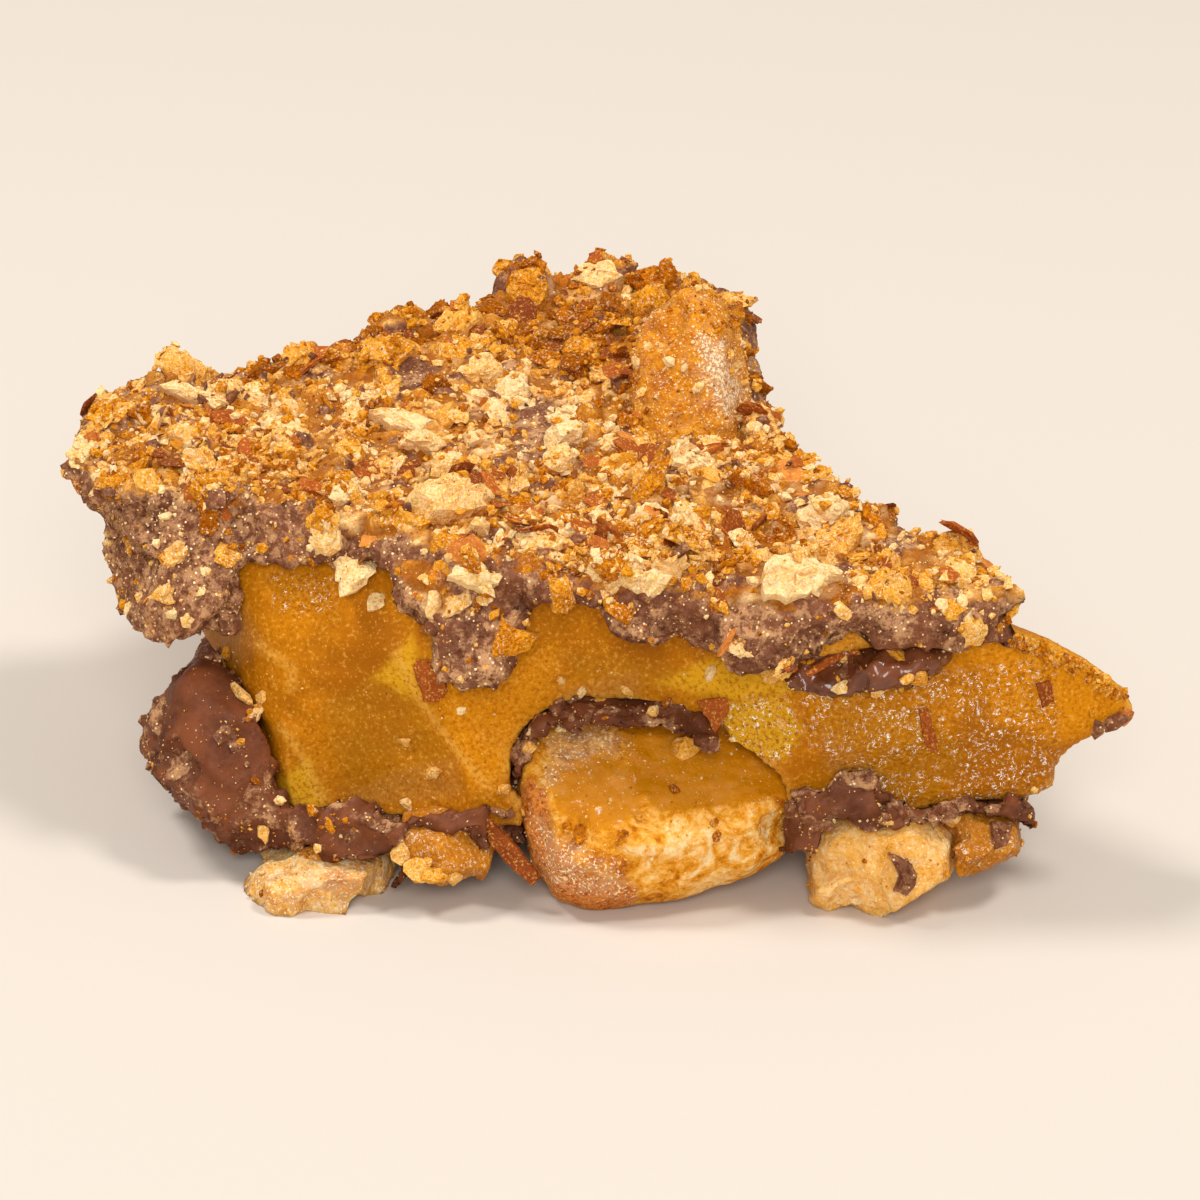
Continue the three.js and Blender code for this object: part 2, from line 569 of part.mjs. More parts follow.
const spreadBelow = spreadCrumbs(LOWER_CRUMBS, rimAt(0), undercoatBottom, -1);
const lowerCrumbs = [...largeCrumbs(FOOT_CRUMBS, undercoatBottom), ...spreadBelow];
const corners = Object.values(BREAKS).map((corner) => brokenCorner(corner));
const emptyUndercoat = without(together(solidOf(undercoatSkin()), lowerCrumbs), [toffeeRoom, ...corners]);
const undercoat = without(emptyUndercoat.add(shell), pockets).intersect(aboveTable);

// Finishes
const finish = (color, roughness) => new THREE.MeshStandardMaterial({ color, roughness, metalness: 0 });
const TOFFEE_FINISH = finish(0xbf731a, 0.25);
const CHOCOLATE_FINISH = finish(0x7a4229, 0.6);
const CRUMB_FINISH = finish(0xd79144, 0.8);
const ALMOND_FINISH = finish(0xe0a35c, 0.65);

const piece = new THREE.Group();
piece.name = "english_toffee";

function addPiece(name, solid, material) {
  const mesh = new THREE.Mesh(geometryOf(mainBody(solid)), material);
  mesh.name = name;
  piece.add(mesh);
}

addPiece("toffee", toffee, TOFFEE_FINISH);
addPiece("chocolate_top", coat, CRUMB_FINISH);
addPiece("chocolate_base", undercoat, CHOCOLATE_FINISH);
addPiece("chocolate_seam", blade(SEAM), CHOCOLATE_FINISH);
for (const [name, shape] of Object.entries(CHIPS)) {
  addPiece(name, without(chip(shape), nutPockets), TOFFEE_FINISH);
}
for (const [name, nut] of Object.entries(NUTS)) {
  addPiece(name, brokenNut(nut).intersect(aboveTable), ALMOND_FINISH);
}
addPiece("almond_top", without(brokenNut(STANDING_NUT), [toffeeRoom]), ALMOND_FINISH);

// The origin is on the table, under the middle of the whole piece.
const bounds = new THREE.Box3().setFromObject(piece);
const centre = bounds.getCenter(new THREE.Vector3());
piece.position.set(-centre.x, -centre.y, -bounds.min.z);

export default piece;
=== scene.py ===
"""English toffee: the looks of one broken piece of almond toffee between two coats of chocolate.

The solids are remeshed finely, chipped, roughened and coloured. Crushed almonds, their skins and crumbs
of chocolate and toffee are strewn over them. Sizes are in millimetres, and the frame is in metres.
"""

import math
from functools import cached_property

import bmesh
import bpy
import numpy as np
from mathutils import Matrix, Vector, noise
from mathutils.bvhtree import BVHTree


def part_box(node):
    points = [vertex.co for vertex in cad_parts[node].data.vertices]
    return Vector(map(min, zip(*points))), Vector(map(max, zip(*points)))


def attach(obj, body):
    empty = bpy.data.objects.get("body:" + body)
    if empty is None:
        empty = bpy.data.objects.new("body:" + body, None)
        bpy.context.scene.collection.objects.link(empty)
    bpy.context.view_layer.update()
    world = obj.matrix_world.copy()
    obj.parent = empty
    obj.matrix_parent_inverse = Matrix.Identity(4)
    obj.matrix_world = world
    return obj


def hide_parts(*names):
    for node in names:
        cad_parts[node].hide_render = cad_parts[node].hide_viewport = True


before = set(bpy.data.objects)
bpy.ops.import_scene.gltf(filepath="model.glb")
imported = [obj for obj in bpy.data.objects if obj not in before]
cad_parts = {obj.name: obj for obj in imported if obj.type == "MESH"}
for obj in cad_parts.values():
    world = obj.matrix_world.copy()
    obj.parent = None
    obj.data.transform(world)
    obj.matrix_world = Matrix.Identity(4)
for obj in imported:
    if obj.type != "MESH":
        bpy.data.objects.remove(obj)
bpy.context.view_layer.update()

MM = 0.001
UP = np.array([0.0, 0.0, 1.0])

# Where the drawing of the piece lies in the frame, found from the streak of chocolate in its front
STREAK_AT = Vector((12.9, -14.9, 12.8))
streak_low, streak_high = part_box("chocolate_seam")
ORIGIN = np.array((streak_low + streak_high) / (2 * MM) - STREAK_AT)

# The photo's view: pixels are those of its square frame
PHOTO_SIDE = 1200
PIXELS_PER_MM = 19.8
VIEW_RAISED = math.radians(26)
VIEW_DISTANCE = 300
FOCAL_PIXELS = PIXELS_PER_MM * VIEW_DISTANCE
SENSOR_WIDTH = 36
AIM_HEIGHT = 9
AIM = ORIGIN + [0, 0, AIM_HEIGHT]
AHEAD = np.array([0, math.cos(VIEW_RAISED), -math.sin(VIEW_RAISED)])
ABOVE = np.array([0, math.sin(VIEW_RAISED), math.cos(VIEW_RAISED)])
ACROSS = np.array([1.0, 0.0, 0.0])
EYE = AIM - VIEW_DISTANCE * AHEAD

# Remeshing
CLOSE_GAP = 0.17  # each surface stands out this far to close its half of the gap between the solids
TOFFEE_VOXEL = 0.30
COAT_VOXEL = 0.25
SMALL_VOXEL = 0.19  # of the chips, the streak and the almonds
SHARP_EDGE = math.radians(30)  # crumbs are smooth across edges that bend less than this

# Colours, linear
AMBER = (0.55, 0.192, 0.0015, 1)
DEEP_AMBER = (0.37, 0.112, 0.001, 1)
ORANGE = (0.63, 0.226, 0.0015, 1)
OLIVE_YELLOW = (0.70, 0.360, 0.010, 1)
OLIVE_BROWN = (0.43, 0.172, 0.005, 1)
MILKY_AMBER = (0.47, 0.185, 0.026, 1)
# Also the painted highlight on the toffee's ridges and its painted glint specks
PALE_AMBER = (0.78, 0.400, 0.060, 1)
# White of the glints painted on the toffee: a painted highlight
PAINTED_GLINT_WHITE = (1.0, 0.93, 0.80, 1)
CHOCOLATE = (0.190, 0.054, 0.019, 1)
DARK_CHOCOLATE = (0.092, 0.024, 0.008, 1)
BLOOM = (0.26, 0.108, 0.056, 1)
TAN_DUST = (0.60, 0.310, 0.140, 1)
POWDER = (1.0, 0.80, 0.52, 1)
CREAM = (1.0, 0.71, 0.35, 1)
PALE_NUT = (0.95, 0.49, 0.110, 1)
GOLDEN_NUT = (0.77, 0.305, 0.012, 1)
TOASTED_NUT = (0.50, 0.132, 0.003, 1)
BROWN_NUT = (0.27, 0.066, 0.002, 1)
PALE_SKIN = (0.68, 0.235, 0.040, 1)
RED_SKIN = (0.40, 0.085, 0.008, 1)
DARK_SKIN = (0.21, 0.040, 0.005, 1)
FLOOR_CREAM = (0.622, 0.555, 0.482, 1)
WORLD_WARMTH = (1.0, 0.95, 0.90, 1)

# Table, view and light, in metres and watts
TABLE_SIZE = 6
NEAREST_SEEN = 0.01
LIT_POINT = Vector((0, 0, 0.01))
WORLD_LIGHT = 0.43
LIGHTS = {
    "left_light": dict(at=(-0.24, 0.03, 0.42), size=0.12, watts=1.2),
    "right_light": dict(at=(0.22, -0.06, 0.46), size=0.12, watts=1.2),
    "front_light": dict(at=(0.0, -0.95, 0.60), size=0.50, watts=7.0),
}

# Scoops that the break left in the toffee's side
SCOOPS = {
    "front left hollow": dict(at=(-12.4, -13.6, 6.6), faces=(-0.2, -1, 0.05), radius=11, depth=2.4),
    "front facet": dict(at=(-1.6, -14.3, 12.8), faces=(0.05, -1, 0.1), radius=24.5, depth=1.6),
    "under the coat": dict(at=(7.0, -15.4, 12.4), faces=(0, -1, 0.35), radius=7, depth=0.8),
    "front right dish": dict(at=(12.0, -16.2, 7.4), faces=(0, -1, 0), radius=5, depth=0.5),
    "waist hollow": dict(at=(9.6, 0.0, 9.0), faces=(1, 0.4, 0.1), radius=10, depth=1.2),
    "back hollow": dict(at=(5.0, 21.0, 9.5), faces=(0.4, 1, 0), radius=8, depth=1.4),
    "left back hollow": dict(at=(-13.0, 12.0, 8.5), faces=(-0.7, 1, 0), radius=9, depth=1.5),
}

# Regions that differ from the rest of their piece, as outlines in pixels
TOFFEE_REGIONS = {
    "yellow": [
        [(267, 791), (309, 757), (324, 808), (267, 825)],
        [(374, 677), (412, 636), (430, 697), (404, 697)],
        [(655, 683), (708, 660), (822, 648), (808, 690), (726, 701)],
        [(719, 704), (779, 693), (803, 730), (786, 760), (724, 764)],
    ],
    "orange": [
        [(425, 640), (471, 660), (520, 655), (560, 640), (530, 755), (471, 790), (443, 727)],
        [(967, 648), (1050, 645), (1140, 708), (1056, 746), (994, 720)],
    ],
    "deep": [
        [(322, 702), (392, 668), (430, 715), (452, 760), (436, 792), (352, 802), (334, 750)],
        [(826, 690), (900, 700), (975, 755), (930, 800), (860, 790), (820, 735)],
        [(560, 655), (640, 655), (690, 672), (640, 690), (575, 680)],
    ],
    "milky": [
        [(819, 728), (850, 745), (890, 782), (870, 800), (825, 770)],
        [(341, 796), (400, 770), (455, 757), (464, 797), (379, 805)],
        [(200, 632), (240, 590), (262, 640), (240, 668)],
        [(560, 690), (640, 670), (640, 700), (575, 712)],
    ],
    # Glossier, rougher patches where glints are painted in as painted highlights; the small one at the
    # upper left is a painted highlight on the glossy hollow
    "glitter": [
        [(800, 690), (880, 690), (1050, 650), (1060, 740), (1045, 815), (900, 805), (810, 745)],
        [(270, 575), (330, 575), (335, 612), (280, 612)],
        [(719, 704), (779, 693), (803, 730), (786, 760), (724, 764)],
    ],
}
TOFFEE_BLUR = 26
TOFFEE_TINTS = {
    "deep": (0.5, OLIVE_BROWN),
    "orange": (0.8, ORANGE),
    "yellow": (0.85, OLIVE_YELLOW),
    "milky": (0.7, MILKY_AMBER),
}
# Crack ridges on the toffee's front, by their pixels, painted paler as a painted highlight
TOFFEE_CRACKS = [
    [(258, 644), (293, 670), (290, 689)],
    [(280, 727), (302, 756), (315, 788), (334, 813)],
    [(395, 652), (420, 700), (452, 745), (490, 790)],
]
CRACK_WIDTH = 7
ALMOND_REGIONS = {
    "glaze": [
        [(620, 715), (726, 720), (790, 750), (795, 795), (740, 803), (660, 812), (630, 780)],
        [(545, 770), (600, 755), (650, 770), (640, 815), (600, 830), (560, 810)],
    ],
    "pale": [[(632, 842), (690, 812), (790, 803), (786, 845), (752, 880), (690, 895), (634, 872)]],
    "skin": [
        [(505, 815), (530, 775), (546, 790), (553, 842), (583, 872), (600, 890), (530, 885)],
        [(583, 872), (640, 886), (629, 915), (580, 915), (530, 885)],
    ],
    "dusty": [
        [(545, 732), (612, 718), (634, 752), (574, 768), (541, 799)],
        [(525, 800), (560, 830), (620, 860), (640, 905), (545, 890)],
    ],
}
STANDING_POWDER = [[(700, 335), (722, 340), (742, 390), (728, 420), (704, 385)]]
ALMOND_BLUR = 26
SATIN_LUMP = [
    [(165, 668), (197, 648), (248, 680), (279, 714), (272, 760), (226, 790), (186, 750), (166, 715)],
    [(226, 785), (272, 755), (266, 785), (253, 800)],
]
SATIN_BLUR = 16
HEAPS = [
    [(625, 375), (690, 395), (765, 425), (800, 480), (700, 470), (620, 430)],
    [(480, 540), (620, 500), (760, 530), (700, 590), (560, 600)],
    [(120, 420), (260, 400), (300, 480), (180, 500)],
]
BARE_PATCHES = [
    [(497, 408), (530, 399), (566, 412), (573, 434), (545, 443), (512, 430)],
    [(390, 365), (425, 360), (440, 385), (400, 395)],
    [(255, 505), (300, 505), (305, 535), (260, 538)],
    [(500, 575), (545, 570), (550, 605), (505, 610)],
    [(640, 440), (690, 436), (700, 455), (650, 462)],
]
PATCH_BLUR = 16

# Crushed almonds that are fused to the upper coat: the ones that stand out, then the even spread
LARGE_CRUMBS = {
    "middle flake": dict(size=(5.0, 3.5, 1.9), at=(2.2, -6.5), toast=0.62),
    "left lip nib": dict(size=(3.5, 2.8, 2.3), at=(-24.4, 2.0), toast=0.35),
    "left shoulder nib": dict(size=(3.3, 2.6, 2.1), at=(-21.2, 5.6), toast=0.30),
}
UPPER_CRUMBS = {"count": 110, "largest": 3.8, "smallest": 2.2, "low": (-25, -17), "high": (22, 25)}
CRUMB_SHAPE = (1.0, 0.8, 0.66)
CRUMB_COVER = 1.08  # a broken nut is this much larger than the plain crumb that it covers
PLASTIC_NUMBER = 1.324717957244746  # spaces the crumbs evenly over a rectangle
CRUMB_HASH = (12.9898, 78.233, 37.719)  # gives each pressed crumb a random value from its place
HASH_SCALE = 43758.5453
CRUMB_FORMS = 40  # broken shapes that the crumbs of a kind are picked from
DROP_HEIGHT = 40  # rays fall from here to find where the fused crumbs lie

# Flakes that stand out, by the pixels of their corners
FLAKE_RINGS = 4
FLAKE_SIDES = 30
FLAKE_REST = 0.7  # a flake lies above this share of the heights of the ground at its corners
FLAKE_ABOVE = 0.6  # share of a flake's thickness above the level that it lies at
FLAKE_BELOW = 0.4
NUT_FLAKES = {
    "front slice": dict(
        outline=[(761, 573), (772, 560), (800, 559), (846, 579), (822, 592), (790, 607), (764, 601)],
        thick=1.6, toast=0.04, faces=(0.05, -0.55, 0.83),
    ),
    "middle half": dict(
        outline=[(410, 492), (440, 480), (478, 485), (494, 502), (472, 518), (430, 516)],
        thick=1.5, toast=0.14,
    ),
    "left sliver": dict(
        outline=[(368, 414), (398, 411), (434, 424), (420, 435), (390, 429)],
        thick=0.8, toast=0.06,
    ),
    "back chunk": dict(
        outline=[(505, 296), (516, 276), (540, 271), (549, 290), (541, 312), (517, 311)],
        thick=1.6, toast=0.52, faces=(0, -0.6, 0.8),
    ),
    "back slice": dict(
        outline=[(570, 284), (582, 267), (612, 264), (622, 280), (600, 292)],
        thick=1.0, toast=0.10, faces=(0, -0.5, 0.85),
    ),
    "right chunk": dict(
        outline=[(819, 548), (836, 526), (858, 519), (863, 536), (846, 560), (826, 563)],
        thick=1.2, toast=0.34, faces=(0.1, -0.5, 0.85),
    ),
    "edge chunk": dict(
        outline=[(548, 580), (568, 576), (574, 600), (566, 613), (552, 611)],
        thick=1.3, toast=0.52, faces=(0.2, -0.95, 0.2),
    ),
    "hanging chunk": dict(
        outline=[(493, 640), (502, 618), (514, 628), (540, 634), (530, 649), (514, 655), (492, 657)],
        thick=0.9, toast=0.60, faces=(0.1, -0.95, 0.3),
    ),
    "shoulder slice": dict(
        outline=[(158, 388), (175, 381), (205, 393), (232, 406), (215, 411), (180, 399)],
        thick=0.8, toast=0.05,
    ),
    "lip slice": dict(
        outline=[(455, 566), (478, 574), (505, 576), (500, 586), (470, 588), (448, 578)],
        thick=0.8, toast=0.03, faces=(0, -0.7, 0.7),
    ),
}
SKIN_FLAKES = {
    "ridge skin": dict(
        outline=[(413, 664), (426, 659), (447, 682), (449, 692), (438, 703), (424, 699)],
        thick=0.35, toast=0.40,
    ),
    "rim skin": dict(outline=[(697, 701), (727, 696), (730, 711), (715, 733)], thick=0.35, toast=0.38),
    "bulge skin": dict(
        outline=[(919, 709), (929, 711), (938, 744), (932, 753), (924, 744)],
        thick=0.3, toast=0.42,
    ),
    "tip skin": dict(outline=[(1036, 684), (1050, 680), (1054, 700), (1042, 708)], thick=0.3, toast=0.62),
    "top skin": dict(
        outline=[(207, 413), (232, 410), (255, 425), (245, 431), (215, 424)],
        thick=0.4, toast=0.40,
    ),
    "front skin": dict(outline=[(300, 478), (325, 486), (322, 495), (298, 491)], thick=0.4, toast=0.30),
    "papery flake": dict(
        outline=[(478, 812), (490, 818), (518, 848), (542, 878), (534, 886), (508, 866), (490, 842)],
        thick=0.3, toast=0.62, faces=(-0.25, -0.95, 0.2),
    ),
    "streak skin": dict(
        outline=[(803, 672), (830, 656), (858, 648), (862, 653), (832, 664), (808, 678)],
        thick=0.4, toast=0.45, faces=(0, -0.95, 0.3),
    ),
}
CHOCOLATE_FLAKES = {
    "right almond smear": dict(
        outline=[(888, 852), (912, 860), (918, 880), (906, 896), (893, 890), (899, 874)],
        thick=0.8,
    ),
    "right chip smear": dict(
        outline=[(990, 822), (1012, 824), (1006, 846), (994, 850)],
        thick=0.6,
    ),
}

# Single crumbs that stand out, by pixel: size along, across and through, and toasting
TOFFEE_NUB = ((178, 648), (2.2, 1.8, 1.6), 0.3)
TIP_CHOCOLATE = [
    ((1112, 722), (1.6, 0.9, 0.9), 0),
    ((1098, 728), (1.4, 0.8, 0.8), 0),
]
TOP_CRUMBS = [
    ((622, 575), (2.6, 2.2, 1.9), 0.06),
    ((650, 585), (1.8, 1.5, 1.3), 0.10),
    ((672, 570), (2.4, 1.8, 1.6), 0.16),
    ((700, 556), (1.9, 1.5, 1.3), 0.20),
    ((742, 545), (1.7, 1.4, 1.2), 0.10),
    ((832, 545), (2.6, 1.5, 1.4), 0.30),
    ((590, 545), (2.0, 1.6, 1.3), 0.60),
    ((640, 528), (3.0, 2.2, 1.4), 0.62),
    ((345, 455), (2.2, 1.6, 1.3), 0.32),
    ((395, 470), (1.8, 1.4, 1.2), 0.10),
    ((330, 525), (1.8, 1.4, 1.1), 0.05),
    ((480, 580), (2.4, 1.4, 1.2), 0.08),
    ((560, 470), (2.0, 1.6, 1.2), 0.25),
    ((255, 400), (2.4, 1.6, 1.2), 0.12),
    ((480, 398), (2.0, 1.3, 1.0), 0.04),
    ((530, 345), (2.8, 2.0, 1.3), 0.70),
    ((590, 365), (2.6, 1.8, 1.2), 0.66),
]
FRONT_CRUMBS = [
    ((418, 868), (1.8, 1.4, 1.2), 0.30),
    ((436, 872), (1.5, 1.2, 1.0), 0.45),
    ((455, 876), (1.3, 1.1, 0.9), 0.25),
    ((472, 880), (1.4, 1.0, 0.8), 0.55),
    ((400, 856), (1.6, 1.2, 1.1), 0.22),
    ((240, 696), (1.7, 1.0, 0.7), 0.22),
    ((262, 697), (0.8, 0.7, 0.6), 0.25),
    ((228, 655), (1.0, 0.9, 0.7), 0.55),
    ((224, 663), (0.8, 0.6, 0.5), 0.25),
    ((405, 742), (0.9, 0.7, 0.5), 0.30),
    ((433, 772), (1.3, 0.8, 0.6), 0.30),
    ((653, 711), (1.0, 0.9, 0.8), 0.15),
    ((688, 750), (1.6, 1.5, 1.2), 0.40),
    ((627, 693), (1.0, 0.6, 0.5), 0.25),
    ((600, 699), (0.9, 0.8, 0.6), 0.45),
    ((583, 692), (0.8, 0.6, 0.5), 0.10),
    ((529, 745), (0.9, 0.8, 0.6), 0.30),
    ((502, 790), (1.2, 0.9, 0.7), 0.35),
    ((434, 606), (1.5, 1.0, 0.8), 0.08),
    ((376, 602), (1.2, 1.1, 0.9), 0.08),
    ((956, 819), (1.3, 1.1, 0.9), 0.18),
    ((839, 688), (1.2, 0.8, 0.6), 0.10),
    ((712, 672), (1.1, 0.6, 0.5), 0.10),
    ((775, 675), (1.3, 1.0, 0.7), 0.30),
    ((893, 651), (1.6, 1.2, 0.7), 0.50),
    ((921, 678), (1.5, 1.2, 0.8), 0.48),
    ((907, 677), (0.8, 0.7, 0.6), 0.30),
    ((782, 722), (0.9, 0.7, 0.6), 0.30),
    ((842, 612), (1.2, 1.0, 0.8), 0.18),
    ((312, 855), (1.6, 1.2, 0.9), 0.50),
    ((265, 832), (1.2, 0.8, 0.6), 0.25),
    ((408, 804), (1.1, 0.7, 0.5), 0.12),
]
TIP_EDGE = [(1012, 640), (1050, 652), (1078, 666), (1105, 682), (1124, 699)]
TIP_CRUMBS = 70

# Crumbs strewn at random: how they broke, how they lie, how many lie on each piece, what is laid singly,
# and how they are finished. Smaller crumbs lie on those that carry.
STREWN = {
    "almond_bits": dict(
        detail=3, breaks=8, length=(0.9, 2.9), flatness=0.6, tilt=0.3, sunk=0.62,
        on=dict(top=490, undercoat=30), carries=True,
    ),
    "almond_slices": dict(
        detail=2, breaks=5, curl=0.4, length=(1.2, 2.8), flatness=0.25, tilt=0.18, sunk=0.35,
        on=dict(top=70), carries=True,
    ),
    "almond_skins": dict(
        detail=2, breaks=6, curl=1.2, length=(0.6, 2.6), flatness=0.16, tilt=0.3, sunk=0.4,
        on=dict(top=310, undercoat=12, toffee=10),
        flakes=SKIN_FLAKES, finish="almond_skin",
    ),
    "chocolate_crumbs": dict(
        detail=1, breaks=7, length=(0.3, 1.4), flatness=0.7, tilt=0.4, sunk=0.5,
        on=dict(top=70, sides=420, undercoat=700),
        flakes=CHOCOLATE_FLAKES, singles=TIP_CHOCOLATE,
        finish="chocolate", slot="chocolate", marks=dict(dusty=0.6),
    ),
    "toffee_crumbs": dict(
        detail=2, breaks=6, length=(0.8, 1.6), flatness=0.6, tilt=0.4, sunk=0.55,
        on=dict(top=10), singles=[TOFFEE_NUB],
        finish="toffee", slot="toffee", marks=dict(milky=0.6, glitter=0.2),
    ),
    "almond_grains": dict(
        detail=1, breaks=5, length=(0.26, 0.85), flatness=0.85, tilt=0.5, sunk=0.35,
        on=dict(top=5100, sides=260, undercoat=380, toffee=110, nuts=240, standing=90),
    ),
    "almond_meal": dict(
        detail=0, breaks=3, length=(0.10, 0.26), flatness=0.9, tilt=0.6, sunk=0.25,
        on=dict(clumps=11500, sides=2800, undercoat=4200, toffee=700, nuts=1800, standing=800),
    ),
}
TONES = (0.02, 0.18, 0.40, 0.68, 0.95)  # toasting of crumbs, from cream to brown
TONE_SHARES = (0.20, 0.24, 0.24, 0.18, 0.14)

# The almonds that are pieces of their own
ALMONDS = {
    "front": dict(toast=0.47, marbled=1.0, dusty=0.40, smoothing=9, chips=10, depth=0.4),
    "right": dict(toast=0.22, marbled=0.4, skin=0.2, dusty=0.50, smoothing=4, chips=16, depth=0.4),
    "left": dict(toast=0.22, marbled=0.8, skin=0.5, dusty=0.90, smoothing=2, chips=18, depth=0.6),
    "back_left": dict(toast=0.36, marbled=0.6, skin=1.0, dusty=0.50, smoothing=6, chips=14, depth=0.4),
    "back_right": dict(toast=0.30, marbled=0.6, skin=0.8, dusty=0.50, smoothing=6, chips=14, depth=0.4),
    "top": dict(toast=0.62, marbled=0.35, skin=0.1, dusty=0.60, smoothing=6, chips=20, depth=0.2),
}


def unit(vectors):
    """Vectors along the last axis, at length 1."""
    return vectors / np.maximum(np.linalg.norm(vectors, axis=-1, keepdims=True), 1e-9)


def fade(values, low, high):
    """A smooth rise from 0 at low to 1 at high."""
    share = np.clip((np.asarray(values) - low) / (high - low), 0, 1)
    return share * share * (3 - 2 * share)


def lumps(points, size, row=0, octaves=3):
    """Soft random values of about -1 to 1 at points, in lumps of a size."""
    shifted = points / size + [17.3 * row, 5.1 * row, 9.7 * row]
    return np.array([noise.fractal(Vector(point), 0.9, 2.1, octaves) for point in shifted.tolist()])


# Shader values and finishes
class Wire:
    """A value in a finish. Arithmetic on it adds Math nodes."""

    def __init__(self, finish, socket):
        self.finish = finish
        self.socket = socket

    def maths(self, operation, first, second):
        return self.finish.node("ShaderNodeMath", {"operation": operation}, {0: first, 1: second})

    def __add__(self, other):
        return self.maths("ADD", self, other)

    def __sub__(self, other):
        return self.maths("SUBTRACT", self, other)

    def __rsub__(self, other):
        return self.maths("SUBTRACT", other, self)

    def __mul__(self, other):
        return self.maths("MULTIPLY", self, other)

    __radd__ = __add__
    __rmul__ = __mul__

    def rise(self, low, high):
        """A smooth rise from 0 where this is low to 1 where it is high."""
        sockets = {"Value": self, "From Min": low, "From Max": high}
        return self.finish.node("ShaderNodeMapRange", {"interpolation_type": "SMOOTHSTEP"}, sockets)


class Finish:
    """A material, made from nodes."""

    def __init__(self, name):
        self.material = bpy.data.materials.new(name)
        self.material.use_nodes = True
        self.tree = self.material.node_tree
        self.tree.nodes.clear()
        self.place = self.node("ShaderNodeTexCoord", out="Object")

    def node(self, kind, settings=None, sockets=None, out=0):
        """A node of a kind: its settings are set first, then its sockets get values or wires."""
        made = self.tree.nodes.new(kind)
        for name, value in (settings or {}).items():
            if name == "stops":
                self.set_stops(made.color_ramp, value)
            else:
                setattr(made, name, value)
        for name, value in (sockets or {}).items():
            if isinstance(value, Wire):
                self.tree.links.new(value.socket, made.inputs[name])
            else:
                made.inputs[name].default_value = value
        return Wire(self, made.outputs[out]) if made.outputs else None

    @staticmethod
    def set_stops(ramp, stops):
        while len(ramp.elements) < len(stops):
            ramp.elements.new(1)
        for element, (position, colour) in zip(ramp.elements, stops):
            element.position = position
            element.color = colour

    def mark(self, name):
        """A mask that the mesh holds."""
        return self.node("ShaderNodeAttribute", {"attribute_name": name}, out="Fac")

    def grain(self, size, detail=2.0, roughness=0.55, row=0, swirl=0.0):
        """Random values from 0 to 1 in grains of a size, which may swirl."""
        sockets = {"Vector": self.place, "W": row, "Scale": 1 / (size * MM)}
        sockets |= {"Detail": detail, "Roughness": roughness, "Distortion": swirl}
        return self.node("ShaderNodeTexNoise", {"noise_dimensions": "4D"}, sockets)

    def specks(self, size, row=0):
        """How far each place lies from the middle of the nearest speck, in specks."""
        sockets = {0: self.place, 1: (row, row, row)}
        shifted = self.node("ShaderNodeVectorMath", {"operation": "ADD"}, sockets)
        return self.node("ShaderNodeTexVoronoi", None, {"Vector": shifted, "Scale": 1 / (size * MM)})

    def ramp(self, value, stops):
        """Colours along a value."""
        return self.node("ShaderNodeValToRGB", {"stops": stops}, {"Fac": value})

    def mix(self, share, first, second):
        """The first colour where the share is 0, the second where it is 1."""
        sockets = {0: share, 6: first, 7: second}
        return self.node("ShaderNodeMix", {"data_type": "RGBA"}, sockets, out=2)

    def relief(self, height, depth, under=None):
        """A normal with relief of a depth in millimetres, laid over another."""
        sockets = {"Height": height, "Distance": depth * MM}
        if under:
            sockets["Normal"] = under
        return self.node("ShaderNodeBump", None, sockets)

    def surface(self, **sockets):
        """Ends the finish with its shader. Sockets are named in words joined by underscores."""
        named = {name.replace("_", " "): value for name, value in sockets.items()}
        shader = self.node("ShaderNodeBsdfPrincipled", {"subsurface_method": "RANDOM_WALK"}, named)
        self.node("ShaderNodeOutputMaterial", None, {"Surface": shader})
        return self.material


def soft_light(depth, red, green, blue, weight):
    """Sockets that let light soak into a finish, with how far each colour goes in millimetres."""
    return {
        "Subsurface_Weight": weight,
        "Subsurface_Radius": (red / depth, green / depth, blue / depth),
        "Subsurface_Scale": depth * MM,
    }


